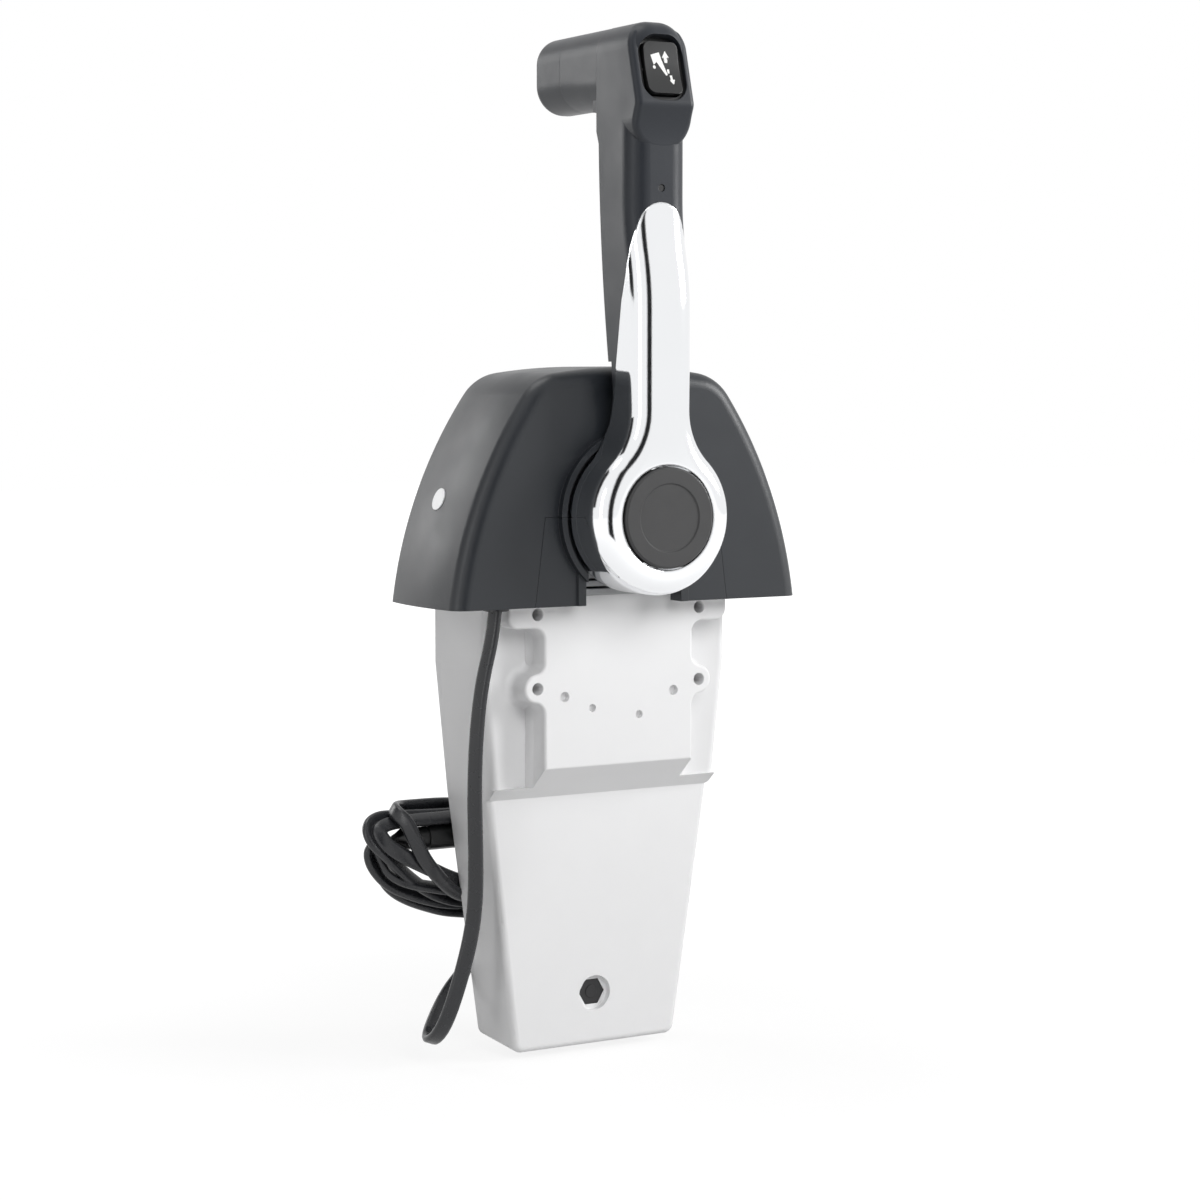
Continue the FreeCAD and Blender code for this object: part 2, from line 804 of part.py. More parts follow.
def arm_region(label, grow):
    """The space that the metal arm fills: an arch at its tip, cut off behind a curved line."""
    item = body(label)
    side_slope = s.tip_side_run / s.tip_side_radius
    side_cosine = root(1 - side_slope * side_slope)
    joint_x = s.tip_half - s.tip_side_radius * (1 - side_cosine)
    tip_radius = joint_x / side_cosine
    joint_z = s.tip_level - tip_radius * (1 - side_slope)
    start_z = joint_z - s.tip_side_run
    wide = s.boss_radius + 2
    pad(item, "y", -s.boss_front - 1, 0, outline(
        (-wide, sized(0)),
        (wide, sized(0)),
        (wide, start_z),
        (s.tip_half + grow, start_z),
        (joint_x + grow, joint_z, s.tip_side_radius),
        (sized(0), s.tip_level + grow, tip_radius + grow),
        (-joint_x - grow, joint_z, tip_radius + grow),
        (-s.tip_half - grow, start_z, s.tip_side_radius),
        (-wide, start_z),
    ))
    cut(item, "x", -wide - 1, wide + 1, outline(
        (-s.split_foot + grow, s.split_foot_level),
        (sized(1), s.split_foot_level),
        (sized(1), s.tip_level + 5),
        (-s.grip_front, s.tip_level + 5),
        (-s.split_bend + grow, s.split_bend_level, s.split_curve),
    ))
    return item


region = arm_region("arm_region", sized(0))
lever_arm = keep(body("lever_arm", boolean("Common", "arm_blank", lever_whole, region)))
well_floor = -s.boss_front + s.button_well_depth
cut(lever_arm, "y", -s.boss_front - 1, well_floor, circle(0, s.pivot_level, s.button_well_radius))
cut(lever_arm, "y", well_floor - 1, -s.boss_back + 1, circle(0, s.pivot_level, s.shaft_radius))
cut(lever_arm, "y", collar_face - s.collar_gap, -s.boss_back + 1,
    circle(0, s.pivot_level, s.collar_radius + s.collar_gap),
    circle(0, s.pivot_level, s.collar_radius - s.collar_wall - s.collar_gap))

grip_region = arm_region("grip_region", s.split_gap)
grip_blank = boolean("Cut", "grip_blank", lever_whole, grip_region)
tilt = slope_of(s.head_face - s.head_face_top, s.head_face_top_level - s.head_low)
face_level = (s.head_low + s.head_face_top_level) / 2
face_y = -(s.head_face + s.head_face_top) / 2


def on_head(item):
    """Place a piece that is drawn about its own zero on the tilted face of the head."""
    bind(item, "Placement.Base.y", face_y)
    bind(item, "Placement.Base.z", face_level)
    item.Placement.Rotation = FreeCAD.Rotation(FreeCAD.Vector(1, 0, 0), -tilt.value)
    document.recompute()
    return item


def soft_rectangle(half_x, half_z, corner):
    """A rectangle about zero with round corners."""
    return outline(
        (half_x - corner, -half_z),
        (half_x, corner - half_z, corner),
        (half_x, half_z - corner),
        (half_x - corner, half_z, corner),
        (corner - half_x, half_z),
        (-half_x, half_z - corner, corner),
        (-half_x, corner - half_z),
        (corner - half_x, -half_z, corner),
    )


well = body("switch_well")
pad(well, "y", sized(-10), s.well_depth, soft_rectangle(s.well_half, s.well_height / 2, s.well_corner))
on_head(well)
grip_hollow = boolean("Cut", "grip_hollow", grip_blank, well)
screw_hole = cylinder("grip_screw_hole", "y", 0, -s.grip_front - 1, s.grip_screw_level,
                      s.grip_screw_radius, s.grip_screw_length + 1.4)
grip = keep(boolean("Cut", "grip", grip_hollow, screw_hole))
grip_screw = keep(cylinder("grip_screw", "y", 0, -s.grip_front + 0.4, s.grip_screw_level,
                           s.grip_screw_radius, s.grip_screw_length))


def handle_outline(low):
    """The handle's section by the level of its underside."""
    top = s.lever_top
    half = s.handle_half
    bottom_round = s.handle_bottom_round
    top_round = s.head_corner
    return outline(
        (half - bottom_round, low),
        (half, low + bottom_round, bottom_round),
        (half, top - top_round),
        (half - top_round, top, top_round),
        (top_round - half, top),
        (-half, top - top_round, top_round),
        (-half, low + bottom_round),
        (bottom_round - half, low, bottom_round),
    )


handle_rise_level = s.handle_bottom + s.handle_rise
grip_handle = keep(body("grip_handle"))
loft(grip_handle, "y", -s.grip_part_line, s.handle_cap_line,
     handle_outline(s.handle_bottom), handle_outline(handle_rise_level))
fillet_half = s.handle_half - s.back_edge_round
pad(grip_handle, "x", -fillet_half, fillet_half, outline(
    (-s.grip_part_line, s.handle_bottom - s.handle_fillet),
    (-s.grip_part_line + s.handle_fillet, s.handle_bottom, -s.handle_fillet),
    (-s.grip_part_line + s.handle_fillet, s.handle_bottom + s.handle_bottom_round),
    (-s.grip_part_line, s.handle_bottom + s.handle_bottom_round),
))
grip_end = keep(body("grip_end"))
pad(grip_end, "y", s.handle_cap_line, s.handle_end, handle_outline(handle_rise_level))
round_edges(grip_end, s.handle_end_round, lambda point, edge: near(point.y, s.handle_end))

switch_bezel = keep(body("switch_bezel"))
gap = s.rocker_gap
pad(switch_bezel, "y", s.bezel_recess, s.bezel_recess + s.bezel_thickness,
    soft_rectangle(s.well_half, s.well_height / 2, s.well_corner),
    soft_rectangle(s.rocker_half + gap, s.rocker_height / 2 + gap, s.rocker_corner + gap))
cut(switch_bezel, "x", -s.rocker_pin_half, s.rocker_pin_half,
    circle(s.rocker_pin_depth, 0, s.rocker_pin_radius))
on_head(switch_bezel)

trim_rocker = keep(body("trim_rocker"))
rocker_face = -s.rocker_proud
rocker_back = s.well_depth - 2.0
dish = 1.4
dish_radius = (s.rocker_height * s.rocker_height / 4 + dish * dish) / (2 * dish)
pad(trim_rocker, "y", rocker_face, rocker_back - 2,
    soft_rectangle(s.rocker_half, s.rocker_height / 2, s.rocker_corner))
cut(trim_rocker, "x", -s.rocker_half - 1, s.rocker_half + 1, outline(
    (rocker_face - 1, -s.rocker_height / 2),
    (rocker_face, -s.rocker_height / 2),
    (rocker_face, s.rocker_height / 2, dish_radius),
    (rocker_face - 1, s.rocker_height / 2),
))
cut(trim_rocker, "x", -s.rocker_half - 1, s.rocker_half + 1,
    circle(s.rocker_pin_depth, 0, s.rocker_pin_radius + s.running_gap))
on_head(trim_rocker)
rocker_pin = keep(body("rocker_pin"))
pad(rocker_pin, "x", -s.rocker_pin_half, s.rocker_pin_half,
    circle(s.rocker_pin_depth, 0, s.rocker_pin_radius))
on_head(rocker_pin)


# Button, shaft and their bearings

def along_y(owner, x, level, *points, groove=False):
    """Turn points (radius, y) about a line along Y."""
    turn(owner, "z", level, x, outline(*points), groove=groove)


button_face = -s.boss_front - s.button_proud
button_back = button_face + s.button_thickness
neutral_button = keep(body("neutral_button"))
along_y(neutral_button, 0, s.pivot_level,
        (sized(0), button_face + s.button_dish_depth),
        (s.button_dish_radius - s.button_dish_depth, button_face + s.button_dish_depth),
        (s.button_dish_radius, button_face),
        (s.button_radius - s.button_edge, button_face),
        (s.button_radius, button_face + s.button_edge),
        (s.button_radius, button_back),
        (s.button_stem_radius, button_back),
        (s.button_stem_radius, button_back + s.button_stem_length),
        (sized(0), button_back + s.button_stem_length))

shaft_end = s.frame_far + s.bush_flange + 3.0
stem_bore = s.button_stem_radius + s.running_gap
lever_shaft = keep(body("lever_shaft"))
along_y(lever_shaft, 0, s.pivot_level,
        (stem_bore, well_floor - s.shaft_head_thickness),
        (s.shaft_head_radius, well_floor - s.shaft_head_thickness),
        (s.shaft_head_radius, well_floor),
        (s.shaft_radius, well_floor),
        (s.shaft_radius, shaft_end),
        (sized(0), shaft_end),
        (sized(0), button_back + s.button_stem_length + s.button_travel + 1),
        (stem_bore, button_back + s.button_stem_length + s.button_travel + 1))

shaft_bore = s.shaft_radius + s.running_gap
near_in = -s.frame_near + s.frame_near_wall
far_in = s.frame_far - s.frame_far_wall
for label, wall, flange_at, outer in (("shaft_bush_near", near_in, -s.frame_near, -1),
                                      ("shaft_bush_far", far_in, s.frame_far, 1)):
    bush = keep(body(label))
    along_y(bush, 0, s.pivot_level,
            (shaft_bore, wall),
            (s.bush_radius, wall),
            (s.bush_radius, flange_at),
            (s.bush_flange_radius, flange_at),
            (s.bush_flange_radius, flange_at + outer * s.bush_flange),
            (shaft_bore, flange_at + outer * s.bush_flange))

clip_at = s.frame_far + s.bush_flange + 0.2
shaft_circlip = keep(body("shaft_circlip"))
along_y(shaft_circlip, 0, s.pivot_level,
        (s.shaft_radius, clip_at), (s.shaft_head_radius, clip_at),
        (s.shaft_head_radius, clip_at + 1.2), (s.shaft_radius, clip_at + 1.2))


def spring(label, x, low, level, radius, wire, length, turns):
    """A compression spring along Y."""
    coil = Part.makeHelix(number(length - wire) / turns, number(length - wire), number(radius))
    start = coil.Vertexes[0].Point
    ring = Part.Wire([Part.makeCircle(number(wire) / 2, start, FreeCAD.Vector(0, 1, 0))])
    solid = Part.Wire(coil.Edges).makePipeShell([ring], True, True)
    item = document.addObject("Part::Feature", label)
    item.Label = label
    item.Shape = solid
    place = FreeCAD.Vector(number(x), number(low) + number(wire) / 2, number(level))
    item.Placement = FreeCAD.Placement(place, FreeCAD.Rotation(FreeCAD.Vector(1, 0, 0), -90))
    return item


spring_low = button_back
spring_length = well_floor - s.shaft_head_thickness - button_back
button_spring = keep(spring("button_spring", 0, spring_low, s.pivot_level, s.spring_radius,
                            s.spring_wire, spring_length, SIZES["spring_turns"]))


# Frame and flange

pivot_frame = keep(body("pivot_frame"))
frame_foot_level = s.flange_thickness
foot_top = frame_foot_level + s.frame_foot
for low, high, foot_low, foot_high, wall_foot in (
        (-s.frame_near, near_in, -s.frame_near, -s.near_foot_inner, s.plate_top + 0.3),
        (far_in, s.frame_far, s.far_foot_inner, s.far_foot_outer, frame_foot_level)):
    pad(pivot_frame, "y", low, high, outline(
        (-s.frame_half, wall_foot),
        (s.frame_half, wall_foot),
        (s.frame_half, s.pivot_level),
        (sized(0), s.pivot_level + s.frame_half, s.frame_half),
        (-s.frame_half, s.pivot_level, s.frame_half),
    ))
    for side in (-1, 1):
        ends = sorted((side * (s.frame_half - 1), side * s.frame_foot_half), key=number)
        pad(pivot_frame, "z", frame_foot_level, foot_top, rectangle(ends[0], foot_low, ends[1], foot_high))
for x, level in ((sized(0), s.spacer_top), (-s.spacer_side_x, s.spacer_side_level),
                 (s.spacer_side_x, s.spacer_side_level)):
    pad(pivot_frame, "y", near_in, far_in, circle(x, level, s.spacer_radius))
fin_half = s.slot_half - s.fin_end_gap
for place in range(3):
    level = s.fin_first_level + place * s.fin_pitch
    pad(pivot_frame, "y", -s.frame_near - s.fin_depth, -s.frame_near,
        rectangle(-fin_half, level, fin_half, level + s.fin_thickness))
for place in range(2):
    level = s.fin_first_level + place * s.fin_pitch
    cut(pivot_frame, "y", -s.frame_near - 1, near_in + 1,
        rectangle(-fin_half, level + s.fin_thickness, fin_half, level + s.fin_pitch))
for x in (-s.hood_screw_x, s.hood_screw_x):
    pad(pivot_frame, "y", far_in, -inside, circle(x, s.hood_screw_level, s.hood_lug_radius))
cut(pivot_frame, "y", -s.frame_near - 1, s.frame_far + 1, circle(0, s.pivot_level, s.bush_radius))
frame_screws_at = [(x, y) for x in (-s.frame_screw_x, s.frame_screw_x)
                   for y in (-s.frame_screw_near, s.frame_screw_far)]
cut(pivot_frame, "z", frame_foot_level - 1, foot_top + 1,
    *[circle(x, y, s.frame_screw_radius) for x, y in frame_screws_at])
cut(pivot_frame, "y", far_in - 1, -inside + 1,
    *[circle(x, s.hood_screw_level, s.hood_screw_radius) for x in (-s.hood_screw_x, s.hood_screw_x)])
frame_top = s.pivot_level + s.frame_half
friction_y = (-s.frame_near + near_in) / 2
bush_top = s.pivot_level + s.bush_radius
cut(pivot_frame, "z", bush_top - 1, frame_top + 1, circle(0, friction_y, s.friction_screw_radius))

notch = s.slot_half + s.slot_rib + 2.0
opening_half = s.housing_half - s.housing_wall - 6.0
flange_half = s.hood_length / 2 - s.hood_wall - s.flange_end_gap
flange_side = s.hood_width / 2 - s.hood_wall - s.flange_side_gap
flange_hole_x = flange_half - s.flange_hole_inset
grommet_x = s.frame_foot_half + s.grommet_gap + s.grommet_flange
mount_flange = keep(body("mount_flange"))
pad(mount_flange, "z", 0, s.flange_thickness,
    soft_rectangle(flange_half, flange_side, s.flange_corner),
    rectangle(-opening_half, -s.housing_side_face, opening_half, far_in + 1))
cut(mount_flange, "z", -1, s.flange_thickness + 1,
    rectangle(-notch, -flange_side - 1, notch, near_in))
cut(mount_flange, "z", -1, s.flange_thickness + 1,
    circle(-grommet_x, -s.grommet_y, s.grommet_neck),
    *[circle(x, y, s.flange_hole_radius) for x in (-flange_hole_x, flange_hole_x)
      for y in (-s.flange_hole_y, s.flange_hole_y)],
    *[circle(x, y, s.frame_screw_radius) for x, y in frame_screws_at])


def hexagon(x, y, across):
    """A six-sided outline by its width across the flats."""
    corner = across / math.sqrt(3)
    return outline(*[(x + corner * round(math.cos(math.radians(turn60)), 9),
                      y + corner * round(math.sin(math.radians(turn60)), 9))
                     for turn60 in range(0, 360, 60)])


def screw(label, axis, low, seat, high, radius, head_radius, places):
    """Equal screws along an axis: shank from low to the seat, head with a hexagon
    socket from the seat to high. Each place moves the first by a vector."""
    first = body(label + "_first")
    pad(first, axis, low, seat, circle(0, 0, radius))
    pad(first, axis, seat, high, circle(0, 0, head_radius))
    socket = sorted((high, high - s.socket_depth if number(high) > number(seat)
                     else high + s.socket_depth), key=number)
    cut(first, axis, socket[0], socket[1], hexagon(sized(0), sized(0), s.socket_width))
    return keep(copies(label, first, places))


head = s.screw_head
screw("frame_screws", "z", -s.frame_screw_depth, foot_top, foot_top + head, s.frame_screw_radius,
      s.screw_head_radius, [(x, y, 0) for x, y in frame_screws_at])
screw("hood_screws", "y", far_in, -front - s.socket_depth - 0.2, -front, s.hood_screw_radius,
      s.screw_head_radius, [(x, 0, s.hood_screw_level) for x in (-s.hood_screw_x, s.hood_screw_x)])
screw("friction_screw", "z", bush_top, frame_top, frame_top + s.friction_head,
      s.friction_screw_radius, s.friction_screw_radius + 2, [(0, friction_y, 0)])
hood_screw_holes = body("hood_screw_holes")
for x in (-s.hood_screw_x, s.hood_screw_x):
    pad(hood_screw_holes, "y", -inside - 1, -front - s.socket_depth - 0.2,
        circle(x, s.hood_screw_level, s.hood_screw_radius + 0.2))
    pad(hood_screw_holes, "y", -front - s.socket_depth - 0.2, -front + 1,
        circle(x, s.hood_screw_level, s.screw_head_radius + 0.2))


# Housing below the console

housing_waist_half = s.housing_half - s.housing_waist_inset


def housing_outline(grow, lift):
    """The housing seen along Y, grown at its sides and lifted at its foot."""
    shoulder = s.housing_half + grow
    waist = housing_waist_half + grow
    foot = s.housing_foot_half + grow
    bottom = lift - s.housing_bottom
    corner = s.housing_corner
    lean = (waist - foot) / (bottom * -1 - s.housing_waist_level)
    return outline(
        (foot - corner, bottom),
        (foot + lean * corner, bottom + corner, corner),
        (waist, -s.housing_waist_level),
        (shoulder, -s.housing_shoulder_level),
        (shoulder, sized(0)),
        (-shoulder, sized(0)),
        (-shoulder, -s.housing_shoulder_level),
        (-waist, -s.housing_waist_level),
        (-foot - lean * corner, bottom + corner),
        (corner - foot, bottom, corner),
    )


housing_form = body("housing_form")
loft(housing_form, "y", -s.housing_side_face, s.housing_back,
     housing_outline(sized(0), sized(0)), housing_outline(s.housing_draft, s.housing_lift))
wide = s.housing_half + 5
slope_run = s.plate_face - s.housing_lower_face
slope_drop = s.housing_waist_level - s.plate_bottom
slope_start = -s.plate_bottom - slope_drop * (s.plate_face - s.housing_side_face - 1) / slope_run
foot_lean = (s.housing_lower_face - s.housing_foot_face) / (s.housing_bottom - s.housing_waist_level)
cut(housing_form, "x", -wide, wide, outline(
    (-s.housing_side_face - 1, slope_start),
    (-s.housing_side_face - 1, -s.housing_bottom - 1),
    (-s.housing_foot_face + foot_lean, -s.housing_bottom - 1),
    (-s.housing_lower_face, -s.housing_waist_level),
))
crease_run = s.housing_half - s.housing_crease_half
crease_slope = (s.housing_side_face - s.housing_crease_face) / crease_run
for side in (-1, 1):
    cut(housing_form, "z", -s.housing_recess_bottom, sized(1), outline(
        (side * s.plate_half, -s.housing_side_face - 1),
        (side * s.plate_half, -s.housing_side_face),
        (side * s.housing_crease_half, -s.housing_crease_face),
        (side * (s.housing_half + 1), -s.housing_side_face - crease_slope),
        (side * (s.housing_half + 1), -s.housing_side_face - 1),
    ))
round_edges(housing_form, s.housing_edge_round,
            lambda point, edge: point.y < 1 and point.z < -s.housing_waist_level.value - 2)
round_edges(housing_form, s.housing_edge_round,
            lambda point, edge: abs(point.x) > s.ear_bar_half.value
            and point.y < -s.housing_side_face.value + 1.5 and edge.BoundBox.ZLength > 3)

ear_out = s.plate_half + s.plate_blend
blend_reach = s.ear_radius + s.plate_blend
blend_height = root(blend_reach * blend_reach - (ear_out - s.ear_x) * (ear_out - s.ear_x))
ear_share = s.ear_radius / blend_reach
ear_joint = s.ear_x + (ear_out - s.ear_x) * ear_share
ear_level = -s.ear_lower_level
bar_low = -s.ear_bar_bottom
bar_corner = s.plate_blend
plate_side = [
    (s.plate_half - s.plate_corner, -s.plate_bottom, None),
    (s.plate_half, s.plate_corner - s.plate_bottom, s.plate_corner),
    (s.plate_half, ear_level - blend_height, None),
    (ear_joint, ear_level - blend_height * ear_share, -s.plate_blend),
    (ear_joint, ear_level + blend_height * ear_share, s.ear_radius),
    (s.plate_half, ear_level + blend_height, -s.plate_blend),
    (s.plate_half, bar_low - s.plate_blend, None),
    (ear_out, bar_low, -s.plate_blend),
    (s.ear_bar_half - bar_corner, bar_low, None),
    (s.ear_bar_half, bar_low + bar_corner, bar_corner),
    (s.ear_bar_half, sized(0), None),
]
mirrored = []
bends = [point[2] for point in plate_side] + [None]
for place in range(len(plate_side) - 1, -1, -1):
    x, z, _ = plate_side[place]
    mirrored.append((-x, z, bends[place + 1]))
plate_points = [point if point[2] is not None else point[:2] for point in plate_side + mirrored]
pad(housing_form, "y", -s.plate_face, -s.housing_lower_face, outline(*plate_points))
pad(housing_form, "y", -s.plate_face, -s.housing_side_face,
    rectangle(s.plate_top_gap - s.frame_half, bar_low, s.frame_half - s.plate_top_gap, s.plate_top))
pad(housing_form, "x", -s.plate_half, s.plate_half, outline(
    (-s.plate_face, -s.plate_bottom),
    (-s.housing_lower_face, -s.housing_waist_level),
    (sized(0), -s.housing_waist_level),
    (sized(0), -s.plate_bottom + s.plate_corner),
    (-s.plate_face, -s.plate_bottom + s.plate_corner),
))
round_edges(housing_form, s.plate_edge_round,
            lambda point, edge: near(point.y, -s.plate_face) and point.z < -0.5)
ear_low = -s.ear_lower_level.value - number(blend_height)
ear_high = -s.ear_lower_level.value + number(blend_height)
round_edges(housing_form, s.ear_foot_round,
            lambda point, edge: abs(point.x) > s.housing_crease_half.value + 1
            and ear_low < point.z < ear_high
            and -s.housing_side_face.value < point.y < -s.housing_crease_face.value + 0.1
            and abs(point.x) < s.ear_bar_half.value)

seam = s.housing_back - s.back_plate
gear_distance = s.gear_module * (s.drive_teeth + s.driven_teeth) / 2
gear_spread = sized(360) / s.drive_teeth
gear_x = gear_distance * sine(gear_spread)
gear_level = s.pivot_level - gear_distance * cosine(gear_spread)
back_screws_at = [(side * x, level) for side in (-1, 1)
                  for x, level in ((sized(54.5), sized(-20)), (sized(50), sized(-84)), (sized(35), sized(-190)))]
inner_plate = s.housing_wall - s.plate_face
inner_floor = s.housing_wall - s.housing_crease_face
inner_foot = s.housing_wall - s.housing_foot_face
anchor_x = sized(-1)
anchor_face = -s.housing_lower_face + foot_lean * (s.anchor_level - s.housing_waist_level)

housing_front = keep(body("housing_front", housing_form))
cut(housing_front, "y", seam, s.housing_back + 1, rectangle(-wide, -s.housing_bottom - 1, wide, s.plate_top + 1))
cut(housing_front, "y", inner_floor, seam + 1, outline(
    (s.housing_half - s.housing_wall, sized(1)),
    (-s.housing_half + s.housing_wall, sized(1)),
    (-s.housing_half + s.housing_wall, -s.housing_shoulder_level),
    (-housing_waist_half + s.housing_wall, -s.housing_recess_bottom),
    (housing_waist_half - s.housing_wall, -s.housing_recess_bottom),
    (s.housing_half - s.housing_wall, -s.housing_shoulder_level),
))
cut(housing_front, "y", inner_foot, seam + 1, outline(
    (housing_waist_half - s.housing_wall, 1 - s.housing_recess_bottom),
    (-housing_waist_half + s.housing_wall, 1 - s.housing_recess_bottom),
    (-housing_waist_half + s.housing_wall, -s.housing_waist_level),
    (-s.housing_foot_half + s.housing_wall, s.housing_wall + s.housing_lift - s.housing_bottom),
    (s.housing_foot_half - s.housing_wall, s.housing_wall + s.housing_lift - s.housing_bottom),
    (housing_waist_half - s.housing_wall, -s.housing_waist_level),
))
cut(housing_front, "y", inner_plate, inner_floor + 1,
    rectangle(s.housing_wall - s.plate_half, s.housing_wall - s.plate_bottom,
              s.plate_half - s.housing_wall, s.plate_top + 1))
for x, level in back_screws_at:
    boss_low = inner_floor if number(level) > -SIZES["housing_recess_bottom"] else inner_foot
    pad(housing_front, "y", boss_low - 0.5, seam, circle(x, level, s.back_screw_boss))
for side in (-1, 1):
    pad(housing_front, "z", -s.frame_screw_depth - 2, sized(0), outline(
        (side * (s.frame_screw_x - s.back_screw_boss), s.frame_screw_far - s.back_screw_boss),
        (side * (s.frame_screw_x - s.back_screw_boss), seam),
        (side * (s.housing_half - 1), seam),
        (side * (s.housing_half - 1), s.frame_screw_far - s.back_screw_boss),
    ))
pad(housing_front, "y", inner_plate - 0.5, s.shift_gear_low - s.running_gap * 4,
    circle(-gear_x, gear_level, s.axle_post_radius))
pad(housing_front, "y", anchor_face + 1, seam, circle(anchor_x, -s.anchor_level, s.anchor_well_radius + 1))
pad(housing_front, "y", anchor_face + 1, inner_foot + 1,
    circle(anchor_x, -s.anchor_level, s.anchor_well_radius + 1))
cut(housing_front, "y", anchor_face - 2, anchor_face + s.anchor_well_depth,
    circle(anchor_x, -s.anchor_level, s.anchor_well_radius))
cut(housing_front, "y", anchor_face, anchor_face + s.anchor_well_depth + s.anchor_hex_depth,
    hexagon(anchor_x, -s.anchor_level, s.anchor_hex))
cut(housing_front, "y", anchor_face, seam + 1, circle(anchor_x, -s.anchor_level, s.anchor_bolt_radius))
cut(housing_front, "y", seam - s.back_screw_depth, seam + 1,
    *[circle(x, level, s.back_screw_radius) for x, level in back_screws_at])
cut(housing_front, "z", -s.frame_screw_depth, sized(1),
    *[circle(x, y, s.frame_screw_radius) for x, y in frame_screws_at])
cut(housing_front, "y", -s.plate_face - 1, -s.plate_face + s.ear_hole_depth,
    *[circle(side * s.ear_x, level, s.ear_hole_radius) for side in (-1, 1)
      for level in (-s.ear_upper_level, -s.ear_lower_level)])
cut(housing_front, "y", -s.plate_face - 1, -s.plate_face + s.dowel_depth,
    circle(-s.dowel_x, -s.dowel_level, s.dowel_radius), circle(s.dowel_x, -s.dowel_level, s.dowel_radius))
cut(housing_front, "y", -s.plate_face - 1, -s.plate_face + s.tapping_depth,
    circle(-s.tapping_left, -s.tapping_left_level, s.tapping_radius),
    circle(s.tapping_right, -s.tapping_right_level, s.tapping_radius))
cut(housing_front, "y", inner_plate - 2, s.shift_gear_low, circle(-gear_x, gear_level, s.axle_radius))
cut(housing_front, "z", -s.housing_bottom - 1, s.housing_lift + s.housing_wall + 1 - s.housing_bottom,
    circle(-s.cable_bore_x, s.cable_bore_y, s.cable_bore_radius),
    circle(s.cable_bore_x, s.cable_bore_y, s.cable_bore_radius))

housing_back = keep(body("housing_back", housing_form))
cut(housing_back, "y", -s.plate_face - 1, seam, rectangle(-wide, -s.housing_bottom - 1, wide, s.plate_top + 1))
throttle_gear_high = s.throttle_gear_low + s.gear_width
throttle_arm_high = throttle_gear_high + s.arm_thickness
pad(housing_back, "y", throttle_arm_high + s.running_gap * 4, seam + 1,
    circle(gear_x, gear_level, s.axle_post_radius))
cut(housing_back, "y", throttle_arm_high, seam + 1, circle(gear_x, gear_level, s.axle_radius))
cut(housing_back, "y", seam - 1, s.housing_back + 1,
    circle(anchor_x, -s.anchor_level, s.anchor_bolt_radius),
    *[circle(x, level, s.back_screw_radius) for x, level in back_screws_at])
cut(housing_back, "y", s.housing_back - head, s.housing_back + 1,
    *[circle(x, level, s.screw_head_radius) for x, level in back_screws_at])
strap_screw_level = s.coil_half_height + s.coil_level + s.strap_screw_drop
cut(housing_back, "y", seam - 1, s.housing_back + 1,
    circle(s.strap_x, -strap_screw_level, s.frame_screw_radius))

screw("housing_screws", "y", seam - s.back_screw_depth, s.housing_back - head, s.housing_back,
      s.back_screw_radius, s.screw_head_radius, [(x, 0, level) for x, level in back_screws_at])
anchor_bolt = keep(body("anchor_bolt"))
pad(anchor_bolt, "y", anchor_face + s.anchor_well_depth, s.housing_back,
    circle(anchor_x, -s.anchor_level, s.anchor_bolt_radius))
pad(anchor_bolt, "y", s.housing_back, s.housing_back + head,
    circle(anchor_x, -s.anchor_level, s.anchor_bolt_radius * 2))
cut(anchor_bolt, "y", s.housing_back + head - s.socket_depth, s.housing_back + head,
    hexagon(anchor_x, -s.anchor_level, s.socket_width))
anchor_nut = keep(body("anchor_nut"))
pad(anchor_nut, "y", anchor_face + s.anchor_well_depth + 0.2,
    anchor_face + s.anchor_well_depth + s.anchor_hex_depth,
    hexagon(anchor_x, -s.anchor_level, s.anchor_hex - 0.2))
cut(anchor_nut, "y", anchor_face, seam, circle(anchor_x, -s.anchor_level, s.anchor_bolt_radius))


# Gear train

def gear(label, low, teeth, first_gap, bore):
    """A spur gear about its own zero with straight flanks, the first gap at an angle."""
    item = body(label)
    pitch = s.gear_module * teeth / 2
    tip = pitch + s.addendum * s.gear_module
    floor = pitch - s.dedendum * s.gear_module
    gap = (1 - s.tooth_share) * math.pi * s.gear_module / 2
    lean = math.tan(math.radians(20))
    outer_half = gap + (s.addendum * s.gear_module + 1) * lean
    inner_half = gap - s.dedendum * s.gear_module * lean
    pad(item, "y", low, low + s.gear_width, circle(0, 0, tip), circle(0, 0, bore))
    along = (cosine(first_gap), sine(first_gap))

    def point(reach, side):
        return (along[0] * reach - along[1] * side, along[1] * reach + along[0] * side)

    feature = cut(item, "y", low - 1, low + s.gear_width + 1, outline(
        point(floor, -inner_half), point(tip + 1, -outer_half),
        point(tip + 1, outer_half), point(floor, inner_half)))
    item.Tip = feature
    pattern = item.newObject("PartDesign::PolarPattern", label + "_teeth")
    pattern.Originals = [feature]
    pattern.Axis = ([part for part in item.Origin.OriginFeatures if part.Role == "Y_Axis"][0], [""])
    pattern.Angle = 360
    item.Tip = pattern
    bind(pattern, "Occurrences", teeth)
    document.recompute()
    return item


def set_at(item, x, level):
    bind(item, "Placement.Base.x", x)
    bind(item, "Placement.Base.z", level)
    document.recompute()
    return item


